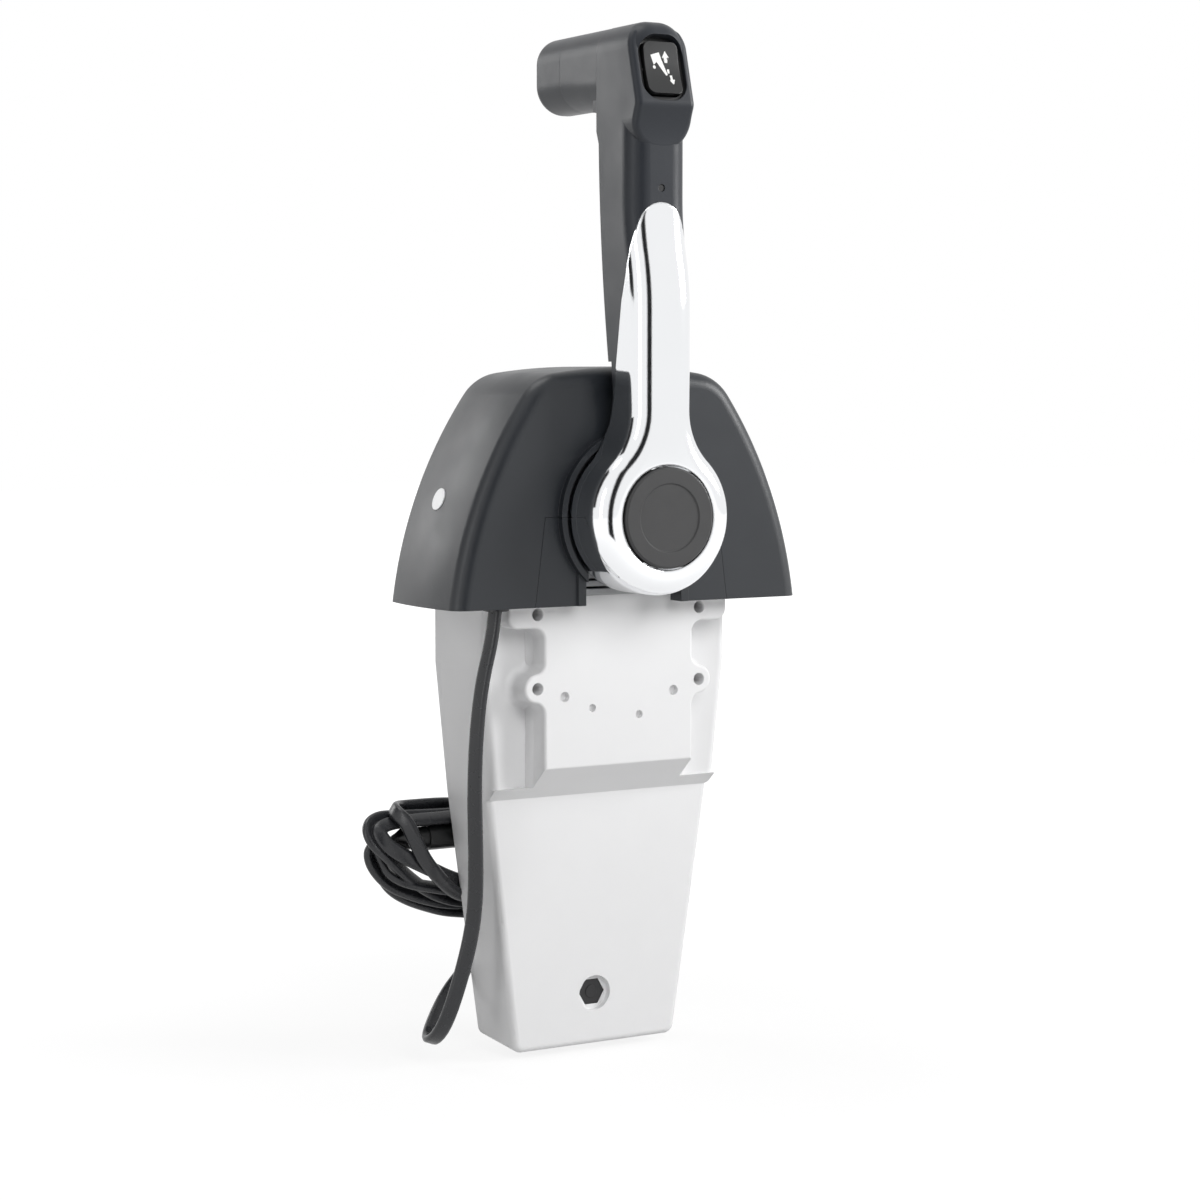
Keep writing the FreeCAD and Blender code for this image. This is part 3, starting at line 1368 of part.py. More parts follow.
axle_bore = s.axle_radius + s.running_gap
drive_gear = keep(gear("drive_gear", s.drive_low, s.drive_teeth, 270 + gear_spread / 2, s.shaft_radius))
pad(drive_gear, "y", s.drive_low + s.gear_width, s.drive_high,
    circle(0, 0, s.bush_radius), circle(0, 0, s.shaft_radius))
set_at(drive_gear, 0, s.pivot_level)
shift_gear = set_at(keep(gear("shift_gear", s.shift_gear_low, s.driven_teeth, 90 - gear_spread, axle_bore)),
                    -gear_x, gear_level)
throttle_gear = set_at(keep(gear("throttle_gear", s.throttle_gear_low, s.driven_teeth, 90 + gear_spread,
                            axle_bore)),
                       gear_x, gear_level)


def cable_arm(label, low, x):
    """An arm that hangs down from a driven gear, with the hole for a cable's pin."""
    item = keep(body(label))
    lean = (s.axle_boss_radius - s.arm_end_radius) / s.arm_reach
    level = root(1 - lean * lean)
    hub = s.axle_boss_radius
    end = s.arm_end_radius
    pad(item, "y", low, low + s.arm_thickness, outline(
        (hub * level, -hub * lean),
        (sized(0), hub, hub),
        (-hub * level, -hub * lean, hub),
        (-end * level, -s.arm_reach - end * lean),
        (sized(0), -s.arm_reach - end, end),
        (end * level, -s.arm_reach - end * lean, end),
    ))
    cut(item, "y", low - 1, low + s.arm_thickness + 1,
        circle(0, 0, axle_bore), circle(0, -s.arm_reach, s.pin_radius))
    return set_at(item, x, gear_level)


shift_arm_low = s.shift_gear_low + s.gear_width
cable_arm("shift_arm", shift_arm_low, -gear_x)
cable_arm("throttle_arm", throttle_gear_high, gear_x)


def stud(label, points, x, level):
    """A turned pin along Y about its own zero, set at a place."""
    item = keep(body(label))
    along_y(item, 0, 0, *points)
    return set_at(item, x, level)


shift_axle_end = shift_arm_low + s.arm_thickness + s.running_gap * 4 + s.clip_thickness + 0.3
stud("shift_axle", [
    (sized(0), inner_plate - 2), (s.axle_radius, inner_plate - 2),
    (s.axle_radius, shift_axle_end), (sized(0), shift_axle_end)], -gear_x, gear_level)
throttle_axle_end = s.throttle_gear_low - s.running_gap * 4 - s.clip_thickness - 0.3
stud("throttle_axle", [
    (sized(0), throttle_axle_end), (s.axle_radius, throttle_axle_end),
    (s.axle_radius, seam + 1), (sized(0), seam + 1)], gear_x, gear_level)
for label, low, x in (("shift_clip", shift_arm_low + s.arm_thickness + s.running_gap * 4, -gear_x),
                      ("throttle_clip", throttle_axle_end + 0.3, gear_x)):
    stud(label, [
        (s.axle_radius, low), (s.clip_radius, low),
        (s.clip_radius, low + s.clip_thickness), (s.axle_radius, low + s.clip_thickness)], x, gear_level)
pin_level = gear_level - s.arm_reach
for label, low, high, x in (
        ("shift_pin", shift_arm_low + s.arm_thickness - s.pin_length, shift_arm_low + s.arm_thickness, -gear_x),
        ("throttle_pin", throttle_arm_high - s.pin_length, throttle_arm_high, gear_x)):
    stud(label, [
        (sized(0), low), (s.pin_radius, low), (s.pin_radius, high),
        (s.pin_radius + 1.5, high), (s.pin_radius + 1.5, high + 0.8), (sized(0), high + 0.8)], x, pin_level)

neutral_cam = keep(body("neutral_cam"))
pad(neutral_cam, "y", s.cam_low, s.cam_low + s.cam_thickness,
    circle(0, s.pivot_level, s.cam_radius), circle(0, s.pivot_level, s.shaft_radius))
lobe_level = s.pivot_level - s.cam_radius - s.cam_lobe
pad(neutral_cam, "y", s.cam_low, s.cam_low + s.cam_thickness,
    rectangle(-s.cam_lobe_half, lobe_level, s.cam_lobe_half, s.pivot_level - s.shaft_radius - 1))
neutral_sensor = keep(body("neutral_sensor"))
sensor_top = lobe_level - s.sensor_gap
pad(neutral_sensor, "y", near_in, near_in + s.sensor_depth,
    rectangle(-s.sensor_half, sensor_top - s.sensor_height, s.sensor_half, sensor_top))
pad(neutral_sensor, "z", sensor_top - s.sensor_height - 3, sensor_top - s.sensor_height,
    circle(0, near_in + s.sensor_depth / 2, s.lead_radius / 2))


# Switch lead, its hank and its plug

def lead_path(corners):
    """Straight runs joined by tangent arcs. Prints each arc's radius."""
    points = [FreeCAD.Vector(*corner) for corner in corners]
    edges = []
    start = points[0]
    radii = []
    for before, corner, after in zip(points, points[1:], points[2:]):
        back = (before - corner).normalize()
        ahead = (after - corner).normalize()
        half_turn = (math.pi - back.getAngle(ahead)) / 2
        trim = 0.45 * min((before - corner).Length, (after - corner).Length)
        radius = trim / math.tan(half_turn)
        first = corner + back * trim
        last = corner + ahead * trim
        inward = (back + ahead).normalize()
        middle = corner + inward * (radius / math.cos(half_turn) - radius)
        edges.append(Part.LineSegment(start, first).toShape())
        edges.append(Part.Arc(first, middle, last).toShape())
        radii.append(radius)
        start = last
    edges.append(Part.LineSegment(start, points[-1]).toShape())
    print("lead arc radii:", " ".join("%.0f" % radius for radius in radii))
    return Part.Wire(edges)


def tube(label, corners, radius):
    path = lead_path(corners)
    first = FreeCAD.Vector(*corners[0])
    run = FreeCAD.Vector(*corners[1]) - first
    ring = Part.Wire([Part.makeCircle(number(radius), first, run)])
    item = document.addObject("Part::Feature", label)
    item.Label = label
    item.Shape = path.makePipeShell([ring], True, True)
    section = math.pi * number(radius) ** 2 * path.Length
    print("%s: %.0f mm long, volume %.0f of %.0f" % (label, path.Length, item.Shape.Volume, section))
    return item


switch_lead = keep(tube("switch_lead", LEAD_ROUTE, s.lead_radius))
lead_grommet = keep(body("lead_grommet"))
bore = s.lead_radius + 0.3
pad(lead_grommet, "z", -s.grommet_lip, s.flange_thickness + s.grommet_lip,
    circle(-grommet_x, -s.grommet_y, s.grommet_neck), circle(-grommet_x, -s.grommet_y, bore))
for low in (-s.grommet_lip, s.flange_thickness):
    pad(lead_grommet, "z", low, low + s.grommet_lip,
        circle(-grommet_x, -s.grommet_y, s.grommet_flange), circle(-grommet_x, -s.grommet_y, bore))

lead_coil = keep(body("lead_coil"))
bundle = s.coil_bundle
pad(lead_coil, "y", s.coil_near, s.coil_near + s.coil_depth,
    soft_rectangle(s.coil_half_length, s.coil_half_height, s.coil_corner),
    soft_rectangle(s.coil_half_length - bundle, s.coil_half_height - bundle, s.coil_corner - bundle))
round_edges(lead_coil, s.coil_edge_round,
            lambda point, edge: near(point.y, s.coil_near) or near(point.y, s.coil_near + s.coil_depth))
set_at(lead_coil, -s.coil_x, -s.coil_level)

connector_form = body("connector_form")
radius = s.connector_radius
along_y(connector_form, 0, 0,
        (sized(0), -s.connector_start), (s.lead_radius, -s.connector_start),
        (s.lead_radius, -s.connector_boot - 3), (radius - 1, -s.connector_boot),
        (radius - 1, -s.connector_boot + 12), (radius, -s.connector_boot + 12),
        (radius, -s.connector_end - 6), (radius - 1.2, -s.connector_end - 6),
        (radius - 1.2, -s.connector_end), (sized(0), -s.connector_end))
cut(connector_form, "y", -s.connector_end - 4, -s.connector_end + 1, circle(0, 0, radius - 2.2))
connector_form.Placement.Rotation = FreeCAD.Rotation(FreeCAD.Vector(0, 0, 1), -90)
bind(connector_form, "Placement.Base.y", s.connector_y)
bind(connector_form, "Placement.Base.z", -s.connector_level)
document.recompute()
lead_connector = keep(boolean("Cut", "lead_connector", connector_form, lead_coil))

strap_low = -s.coil_level - s.coil_half_height
coil_strap = keep(body("coil_strap"))
skin = s.strap_thickness
pad(coil_strap, "x", s.strap_x - s.strap_half_width, s.strap_x + s.strap_half_width,
    rectangle(s.coil_near - skin, strap_low - skin, s.coil_near + s.coil_depth + skin, strap_low + bundle + skin),
    rectangle(s.coil_near, strap_low, s.coil_near + s.coil_depth, strap_low + bundle))
pad(coil_strap, "y", s.coil_near - skin, s.coil_near, rectangle(
    s.strap_x - s.strap_half_width, strap_low - s.strap_tab,
    s.strap_x + s.strap_half_width, strap_low))
cut(coil_strap, "y", s.coil_near - skin - 1, s.coil_near + 1,
    circle(s.strap_x, -strap_screw_level, s.frame_screw_radius))
screw("strap_screw", "y", seam, s.coil_near, s.coil_near + head, s.frame_screw_radius,
      s.screw_head_radius, [(s.strap_x, 0, -strap_screw_level)])

# Badge, and the hood's holes

end_disc = body("end_disc")
pad(end_disc, "x", -s.badge_recess, s.badge_thickness - s.badge_recess, circle(0, 0, s.badge_radius))
badge_rise = s.badge_level + end_radius * cosine(end_slope)
badge_run = root(end_radius * end_radius - badge_rise * badge_rise)
bind(end_disc, "Placement.Base.x", end_radius * sine(end_slope) - badge_run - s.hood_length / 2)
bind(end_disc, "Placement.Base.z", s.badge_level)
end_disc.Placement.Rotation = FreeCAD.Rotation(FreeCAD.Vector(0, 1, 0),
                                               180 + slope_of(badge_rise, badge_run).value)
document.recompute()
keep(end_disc)
hood_drilled = boolean("Cut", "hood_drilled", hood, hood_screw_holes)
keep(boolean("Cut", "hood", hood_drilled, end_disc))


def write_parts():
    """Check every object, then write each sub-part."""
    for item in document.Objects:
        if "Invalid" in item.State or "Error" in item.State:
            raise RuntimeError("%s failed: %s" % (item.Name, item.State))
    os.makedirs("parts", exist_ok=True)
    for label, item in nodes.items():
        shape = item.Shape
        if shape.isNull() or not shape.isValid():
            raise RuntimeError("%s has no valid shape" % label)
        shape.exportStep("parts/%s.step" % label)
        box = shape.optimalBoundingBox()
        print("%-18s %2d solids %9.0f mm3  x %.1f..%.1f  y %.1f..%.1f  z %.1f..%.1f" % (
            label, len(shape.Solids), shape.Volume,
            box.XMin, box.XMax, box.YMin, box.YMax, box.ZMin, box.ZMax))


write_parts()
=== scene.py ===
# %% [markdown]
# A side-stick boat throttle. The imported model brings every solid piece in its place, in
# metres. This script gives the pieces their finishes, winds the switch's lead, and sets
# up a studio.

import json
import math

import bmesh
import bpy
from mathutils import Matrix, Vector


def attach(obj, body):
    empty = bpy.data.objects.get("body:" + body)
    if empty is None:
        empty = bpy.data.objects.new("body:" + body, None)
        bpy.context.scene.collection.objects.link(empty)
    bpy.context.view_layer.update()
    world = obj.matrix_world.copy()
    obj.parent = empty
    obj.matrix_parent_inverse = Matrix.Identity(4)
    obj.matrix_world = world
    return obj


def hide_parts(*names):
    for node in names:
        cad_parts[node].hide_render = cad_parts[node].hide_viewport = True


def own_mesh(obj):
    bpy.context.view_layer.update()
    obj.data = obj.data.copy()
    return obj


MM_PER_METRE = 1000

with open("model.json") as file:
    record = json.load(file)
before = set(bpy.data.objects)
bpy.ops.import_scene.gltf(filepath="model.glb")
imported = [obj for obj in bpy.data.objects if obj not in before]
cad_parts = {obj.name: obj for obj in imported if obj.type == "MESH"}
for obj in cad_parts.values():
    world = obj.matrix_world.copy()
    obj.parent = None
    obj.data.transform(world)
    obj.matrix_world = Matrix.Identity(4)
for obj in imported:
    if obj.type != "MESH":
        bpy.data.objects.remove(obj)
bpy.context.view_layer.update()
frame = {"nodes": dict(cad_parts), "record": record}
node = frame["nodes"]
print("pieces from the frame:", len(node))

# %% [markdown]
# The picture that we match was taken from the lever's side, level with the hood's top
# and thirty degrees round towards the aft end. It looks a little down. A long lens keeps
# the sides nearly parallel.

# %% Camera
SENSOR_WIDTH = 36.0
VIEW_ANGLE = 24.318
CAMERA_AT = (-0.6244, -1.0832, 0.1008)
CAMERA_LOOKS = (0.4992, 0.8627, -0.0810)

camera_data = bpy.data.cameras.new("studio_camera")
camera_data.sensor_width = SENSOR_WIDTH
camera_data.angle = math.radians(VIEW_ANGLE)
camera = bpy.data.objects.new("studio_camera", camera_data)
camera.location = CAMERA_AT
camera.rotation_mode = "QUATERNION"
camera.rotation_quaternion = Vector(CAMERA_LOOKS).to_track_quat("-Z", "Y")
bpy.context.collection.objects.link(camera)
bpy.context.scene.camera = camera
print("lens %.1f mm" % camera_data.lens)

# %% [markdown]
# The trim switch in the handle has a flat lead that leaves the hood by a grommet. It
# drops down the aft end, turns under the back corner and climbs to a hank that hangs
# behind the housing. A NURBS curve gives one smooth line through the whole route: its
# control points, in millimetres, are the corners of the solid lead's route and then the
# turns of the hank. Loose turns differ, so each has its own aft end. At the fore end,
# behind the housing, one form serves them all, spread a little more or less each time.

# %% The lead's line
LEAD_ROUTE = [
    (-62.5, -22.5, 5.0),
    (-63.3, -22.3, -10.0),
    (-69.0, -19.5, -36.0),
    (-70.2, -16.0, -72.0),
    (-67.0, -11.5, -108.0),
    (-64.8, -6.5, -136.0),
    (-69.0, -4.0, -160.0),
    (-76.5, 2.0, -190.0),
    (-77.5, 19.0, -199.0),
    (-62.0, 29.0, -180.0),
    (-46.0, 36.5, -170.0),
    (-39.5, 40.0, -146.0),
]
LEAD_TILTS = [60, 60, 55, 45, 35, 25, 15, 0, 0, 0, 0, 0]
AFT_ENDS = [
    [(-44, 46, -146), (-54, 46, -144.5), (-63, 46, -141.5), (-72, 45.5, -138), (-80, 45, -133.5),
     (-85.5, 44, -128), (-87.5, 44, -122), (-88.5, 46, -116), (-88.5, 46.5, -109), (-86, 46.5, -103.5),
     (-78, 46.5, -101), (-66, 46.5, -100), (-49, 46.5, -100)],
    [(-49, 37.5, -135), (-62.5, 37, -132), (-71.5, 37, -130), (-80.5, 37, -127), (-86, 38, -123),
     (-88, 38.5, -118.5), (-90.5, 40, -113), (-91.5, 42, -108), (-88, 43, -103), (-78, 43, -101),
     (-66, 43, -100), (-49, 43, -100)],
    [(-47, 42, -140.5), (-58.5, 41, -137), (-68, 39, -132), (-75.5, 36.5, -126.5), (-82.5, 34.5, -120.5),
     (-90, 33, -113.5), (-95.5, 33, -108.5), (-97, 35, -104), (-95.5, 37, -100.5), (-90.5, 39, -98.5),
     (-84, 39.5, -98.5), (-66, 39.5, -99.5), (-48.5, 39.5, -100)],
    [(-51, 34, -130), (-60.5, 32, -126), (-68, 31, -122), (-75, 30.5, -118.5), (-81.5, 30, -115),
     (-88.5, 30, -110.5), (-92, 31, -106.5), (-93, 33, -103), (-90, 34.5, -101), (-83, 35.5, -100),
     (-69.5, 36, -100), (-49, 36, -100)],
    [(-51.5, 34, -137), (-62.5, 29.5, -128.5), (-68.5, 27, -122.5), (-73.5, 26, -116.5), (-77, 26, -110),
     (-79.5, 26.5, -104), (-81.5, 28, -99), (-84, 31.5, -96), (-84, 36, -94.5), (-81, 41, -94.5),
     (-75, 45, -95), (-49, 46.5, -95.5)],
    [(-50, 44, -142), (-70, 42.5, -136), (-84, 42, -129.5), (-92, 41, -121), (-94.5, 40.5, -114.5),
     (-93, 40, -110.5), (-88, 40, -109)],
]
FORE_END = [(-24, -100), (-2, -100), (10, -104), (15.5, -112), (15.5, -125), (9, -135), (-5, -140),
            (-22, -141.5)]
FORE_SPREAD = [1.0, 0.8, 0.9, 0.7, 1.08]
FORE_MIDDLE = -30.0


def hank_points():
    """Each turn's bottom run, aft end and top run, and the fore end that leads to the next."""
    points = []
    for turn, spread in enumerate(FORE_SPREAD):
        points += AFT_ENDS[turn]
        start = AFT_ENDS[turn][-1][1]
        step = (AFT_ENDS[turn + 1][0][1] - start) / (len(FORE_END) + 1)
        for place, (x, z) in enumerate(FORE_END, start=1):
            points.append((FORE_MIDDLE + (x - FORE_MIDDLE) * spread, start + step * place, z))
    return points + AFT_ENDS[-1]


lead_points = LEAD_ROUTE + hank_points()
print("lead's control points:", len(lead_points))

# %% [markdown]
# The lead is flat, twice as wide as it is thick. A curve that is first extruded and then
# bevelled has just that section, with round edges. Each point's radius is half the
# lead's width, and the other two sizes are shares of it, so the curve's own box is true.

# %% The lead's body
LEAD_WIDTH = 0.007
LEAD_THICKNESS = 0.0035
LEAD_ROUNDNESS = 3
LEAD_STEPS = 6

lead_data = bpy.data.curves.new("switch_cable", "CURVE")
lead_data.dimensions = "3D"
lead_data.twist_mode = "MINIMUM"
lead_data.bevel_depth = LEAD_THICKNESS / LEAD_WIDTH
lead_data.bevel_resolution = LEAD_ROUNDNESS
lead_data.extrude = (LEAD_WIDTH - LEAD_THICKNESS) / LEAD_WIDTH
lead_data.resolution_u = LEAD_STEPS
lead_data.use_fill_caps = True
lead_line = lead_data.splines.new("NURBS")
lead_line.points.add(len(lead_points) - 1)
for point, (x, y, z) in zip(lead_line.points, lead_points):
    point.co = (x / MM_PER_METRE, y / MM_PER_METRE, z / MM_PER_METRE, 1.0)
    point.radius = LEAD_WIDTH / 2
for point, tilt in zip(lead_line.points, LEAD_TILTS):
    point.tilt = math.radians(tilt)
lead_line.order_u = 3
lead_line.use_endpoint_u = True
switch_cable = bpy.data.objects.new("switch_cable", lead_data)
bpy.context.collection.objects.link(switch_cable)
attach(switch_cable, "housing")
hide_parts("switch_lead", "lead_coil")
print("lead measures %.3f m" % lead_line.calc_length())

# %% [markdown]
# Each finish is a Principled shader with some life in it. One helper holds what all of
# them need: a slow mottle that shifts the colour and the roughness a little, and a fine
# grain that gives the light something to catch. The scales are in metres, because the
# pieces are.

# %% A helper for finishes
MOTTLE_DETAIL = 3.0
GRAIN_DETAIL = 2.0
NOISE_LOW = 0.3
NOISE_HIGH = 0.7
GLOSSIEST = 0.02
EDGE_SAMPLES = 6


def finish(name, colour, roughness, metallic=0.0, mottle=0.06, mottle_size=0.02, grain_size=0.0006,
           grain_depth=0.00002, rough_spread=0.08, edge=0.0004, specular=0.5):
    """A Principled material with a mottled colour, uneven gloss, fine grain and soft edges."""
    material = bpy.data.materials.new(name)
    material.use_nodes = True
    tree = material.node_tree
    shader = tree.nodes["Principled BSDF"]
    shader.inputs["Metallic"].default_value = metallic
    shader.inputs["Specular IOR Level"].default_value = specular
    place = tree.nodes.new("ShaderNodeTexCoord")

    slow = tree.nodes.new("ShaderNodeTexNoise")
    slow.inputs["Scale"].default_value = 1 / mottle_size
    slow.inputs["Detail"].default_value = MOTTLE_DETAIL
    tree.links.new(place.outputs["Object"], slow.inputs["Vector"])

    tint = tree.nodes.new("ShaderNodeMix")
    tint.data_type = "RGBA"
    tint.inputs["A"].default_value = [channel * (1 - mottle) for channel in colour] + [1]
    tint.inputs["B"].default_value = [min(1.0, channel * (1 + mottle)) for channel in colour] + [1]
    tree.links.new(slow.outputs["Fac"], tint.inputs["Factor"])
    tree.links.new(tint.outputs["Result"], shader.inputs["Base Color"])

    gloss = tree.nodes.new("ShaderNodeMapRange")
    gloss.inputs["From Min"].default_value = NOISE_LOW
    gloss.inputs["From Max"].default_value = NOISE_HIGH
    gloss.inputs["To Min"].default_value = max(GLOSSIEST, roughness - rough_spread / 2)
    gloss.inputs["To Max"].default_value = min(1.0, roughness + rough_spread / 2)
    tree.links.new(slow.outputs["Fac"], gloss.inputs["Value"])
    tree.links.new(gloss.outputs["Result"], shader.inputs["Roughness"])

    soft_edge = tree.nodes.new("ShaderNodeBevel")
    soft_edge.samples = EDGE_SAMPLES
    soft_edge.inputs["Radius"].default_value = edge
    tree.links.new(soft_edge.outputs["Normal"], shader.inputs["Normal"])
    if grain_depth:
        fine = tree.nodes.new("ShaderNodeTexNoise")
        fine.inputs["Scale"].default_value = 1 / grain_size
        fine.inputs["Detail"].default_value = GRAIN_DETAIL
        tree.links.new(place.outputs["Object"], fine.inputs["Vector"])
        bump = tree.nodes.new("ShaderNodeBump")
        bump.inputs["Strength"].default_value = 1.0
        bump.inputs["Distance"].default_value = grain_depth
        tree.links.new(fine.outputs["Fac"], bump.inputs["Height"])
        tree.links.new(soft_edge.outputs["Normal"], bump.inputs["Normal"])
        tree.links.new(bump.outputs["Normal"], shader.inputs["Normal"])
    return material


# %% [markdown]
# Now the finishes. The hood is moulded in charcoal plastic with a blue cast and a fine
# spark-eroded texture. The grip is a shade lighter. The arm is plated and polished, so
# it has no grain, and its edges turn more softly. The housing is a casting under pale
# silver paint.

# %% The finishes
HOOD_CHARCOAL = (0.013, 0.0155, 0.0195)
GRIP_CHARCOAL = (0.021, 0.024, 0.030)
PLAIN_BLACK = (0.012, 0.0125, 0.013)
# Near black for the screws; on the anchor bolt and nut it is painted shade for their well.
SCREW_BLACK_AND_PAINTED_SHADE = (0.012, 0.012, 0.013)
BUTTON_BLACK = (0.040, 0.040, 0.041)
JACKET_BLACK = (0.020, 0.021, 0.024)
CASTING_SILVER = (0.83, 0.83, 0.835)
BADGE_WHITE = (0.84, 0.85, 0.86)
PRINT_WHITE = (0.88, 0.88, 0.86)
FRAME_GREY = (0.50, 0.51, 0.52)
NYLON_CREAM = (0.72, 0.69, 0.58)
PLATE_CHROME = (0.87, 0.88, 0.895)
PLAIN_STEEL = (0.56, 0.56, 0.57)
BEARING_BRONZE = (0.60, 0.38, 0.18)

finishes = {
    "hood_plastic": finish("charcoal_hood", HOOD_CHARCOAL, 0.40, mottle=0.05, grain_size=0.0005,
                           grain_depth=0.00003),
    "grip_plastic": finish("charcoal_grip", GRIP_CHARCOAL, 0.40, mottle=0.05, grain_size=0.0004,
                           grain_depth=0.00002, specular=0.33),
    "black_plastic": finish("black_switch", PLAIN_BLACK, 0.30, grain_size=0.0003,
                            grain_depth=0.00001),
    "white_plastic": finish("white_badge", BADGE_WHITE, 0.25, mottle=0.01, grain_depth=0.0),
    "frame_plastic": finish("grey_frame", FRAME_GREY, 0.55, mottle=0.04),
    "gear_plastic": finish("nylon_gear", NYLON_CREAM, 0.5, mottle=0.04),
    "chrome": finish("polished_plate", PLATE_CHROME, 0.07, metallic=1.0, mottle=0.01,
                     rough_spread=0.03, mottle_size=0.03, grain_depth=0.0, edge=0.0015),
    "cast_silver": finish("silver_paint", CASTING_SILVER, 0.5, mottle=0.012, mottle_size=0.012,
                          grain_size=0.0009, grain_depth=0.00002),
    "steel": finish("plain_steel", PLAIN_STEEL, 0.3, metallic=1.0, grain_size=0.0003,
                    grain_depth=0.00001),
    "bronze": finish("bearing_bronze", BEARING_BRONZE, 0.35, metallic=1.0),
    "cable_rubber": finish("lead_jacket", JACKET_BLACK, 0.27, mottle=0.12, mottle_size=0.008,
                           grain_size=0.0007, grain_depth=0.00003),
}
# Near black for the grip screw, and painted shade for the well of the anchor bolt and nut.
screw_black_and_painted_shade = finish("black_screw_and_painted_shade", SCREW_BLACK_AND_PAINTED_SHADE, 0.35, grain_size=0.0003)
button_black = finish("button_black", BUTTON_BLACK, 0.6, mottle_size=0.006, grain_size=0.0004)
switch_white = finish("switch_print", PRINT_WHITE, 0.5, mottle=0.01, grain_depth=0.0)
print("finishes:", ", ".join(finishes))

# %% [markdown]
# The record says which slot each solid piece belongs to, so one loop dresses them all.
# Four pieces then get a finish of their own: three near-black fasteners and the button,
# which is duller than the switch. On the anchor bolt and its nut the near black is painted
# shade, standing in for the dark well they sit in.

# %% Dress the pieces
def dress(piece, material):
    """Give a piece one material."""
    piece.data.materials.clear()
    piece.data.materials.append(material)


for part in frame["record"]["subparts"]:
    dress(node[part["node"]], finishes[part["material_slot"]])
dress(switch_cable, finishes["cable_rubber"])
# The anchor bolt and nut's near black is painted shade for the well they sit in.
for fastener in ("grip_screw", "anchor_bolt", "anchor_nut"):
    dress(node[fastener], screw_black_and_painted_shade)
dress(node["neutral_button"], button_black)

# %% [markdown]
# The spring behind the neutral button gets shorter as the button goes in. A rigid piece
# can't do that. Here a copy of it, with a mesh of its own, stands for it on the lever.

return_spring = bpy.data.objects.new("return_spring", node["button_spring"].data.copy())
bpy.context.collection.objects.link(return_spring)
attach(return_spring, "lever")
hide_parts("button_spring")
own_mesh(return_spring)

# %% [markdown]
# The trim switch has a small white print: an engine's leg that tilts, and two arrows.
# It could be an image, but a print cut from a few flat shapes stays sharp at any size.
# Each shape is drawn in millimetres on a plane in front of the rocker, cut into small
# faces and then dropped straight back onto it, so it follows the hollow of its face.

# %% The print on the trim switch
PRINT_HEIGHT = 0.2299
PRINT_PLANE = -0.09
PRINT_LIFT = 0.00007
PRINT_CUTS = 4
DOT_AT = (-3.9, 0.9)
DOT_RADIUS = 0.75
DOT_SIDES = 12
PRINT_SHAPES = [
    [(-5.2, 6.1), (-1.0, 7.4), (2.3, -2.2), (1.4, -2.6), (-2.5, 3.2), (-4.0, 1.9)],
    [(0.4, 5.2), (2.0, 8.1), (3.8, 5.4), (2.8, 5.4), (2.8, 3.0), (1.5, 3.0), (1.5, 5.2)],
    [(2.2, 0.2), (3.3, 0.3), (3.3, -1.5), (2.3, -1.6)],
    [(3.1, -2.4), (4.3, -2.3), (4.4, -4.2), (5.4, -4.1), (4.4, -6.4), (2.7, -4.6), (3.4, -4.5)],
    [(DOT_AT[0] + DOT_RADIUS * math.cos(side * 2 * math.pi / DOT_SIDES),
      DOT_AT[1] + DOT_RADIUS * math.sin(side * 2 * math.pi / DOT_SIDES)) for side in range(DOT_SIDES)],
]
print_grid = bmesh.new()
for shape in PRINT_SHAPES:
    corners = [(x / MM_PER_METRE, PRINT_PLANE, PRINT_HEIGHT + z / MM_PER_METRE) for x, z in shape]
    print_grid.faces.new([print_grid.verts.new(corner) for corner in corners])
bmesh.ops.triangulate(print_grid, faces=print_grid.faces[:])
bmesh.ops.subdivide_edges(print_grid, edges=print_grid.edges[:], cuts=PRINT_CUTS, use_grid_fill=True)
rocker = node["trim_rocker"]
rocker_inverse = rocker.matrix_world.inverted()
straight_back = rocker_inverse.to_3x3() @ Vector((0, 1, 0))
for corner in print_grid.verts:
    _, place, facing, _ = rocker.ray_cast(rocker_inverse @ corner.co, straight_back)
    corner.co = rocker.matrix_world @ (place + facing * PRINT_LIFT)
print_mesh = bpy.data.meshes.new("switch_print")
print_grid.to_mesh(print_mesh)
switch_print = bpy.data.objects.new("switch_print", print_mesh)
bpy.context.collection.objects.link(switch_print)
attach(switch_print, "rocker")
dress(switch_print, switch_white)
print("print faces:", len(print_mesh.polygons))

# %% [markdown]
# The studio is white all round. The floor is one big square that lies just under the
# housing, far below the console that isn't there.

# %% Floor
FLOOR_LEVEL = -0.2075
FLOOR_HALF = 6.0

floor_mesh = bpy.data.meshes.new("studio_floor")
floor_mesh.from_pydata([(-FLOOR_HALF, -FLOOR_HALF, FLOOR_LEVEL), (FLOOR_HALF, -FLOOR_HALF, FLOOR_LEVEL),
                        (FLOOR_HALF, FLOOR_HALF, FLOOR_LEVEL), (-FLOOR_HALF, FLOOR_HALF, FLOOR_LEVEL)],
                       [], [(0, 1, 2, 3)])
studio_floor = bpy.data.objects.new("studio_floor", floor_mesh)
bpy.context.collection.objects.link(studio_floor)
print("floor at %.1f mm" % (FLOOR_LEVEL * MM_PER_METRE))

# %% [markdown]
# White paint alone would look grey in this weak light, and more light would bleach the
# object. So the floor glows, but only for the camera and for mirrors: it sends the
# object no extra light. Close to the object the glow is weaker and the soft shadow stays.

# %% The floor's glow
FLOOR_GREY = (0.6, 0.6, 0.6, 1)
FLOOR_ROUGHNESS = 0.9
GLOW_NEAR = 0.72
GLOW_STRENGTH = 1.18
SHADE_INNER = 0.25
SHADE_OUTER = 0.7


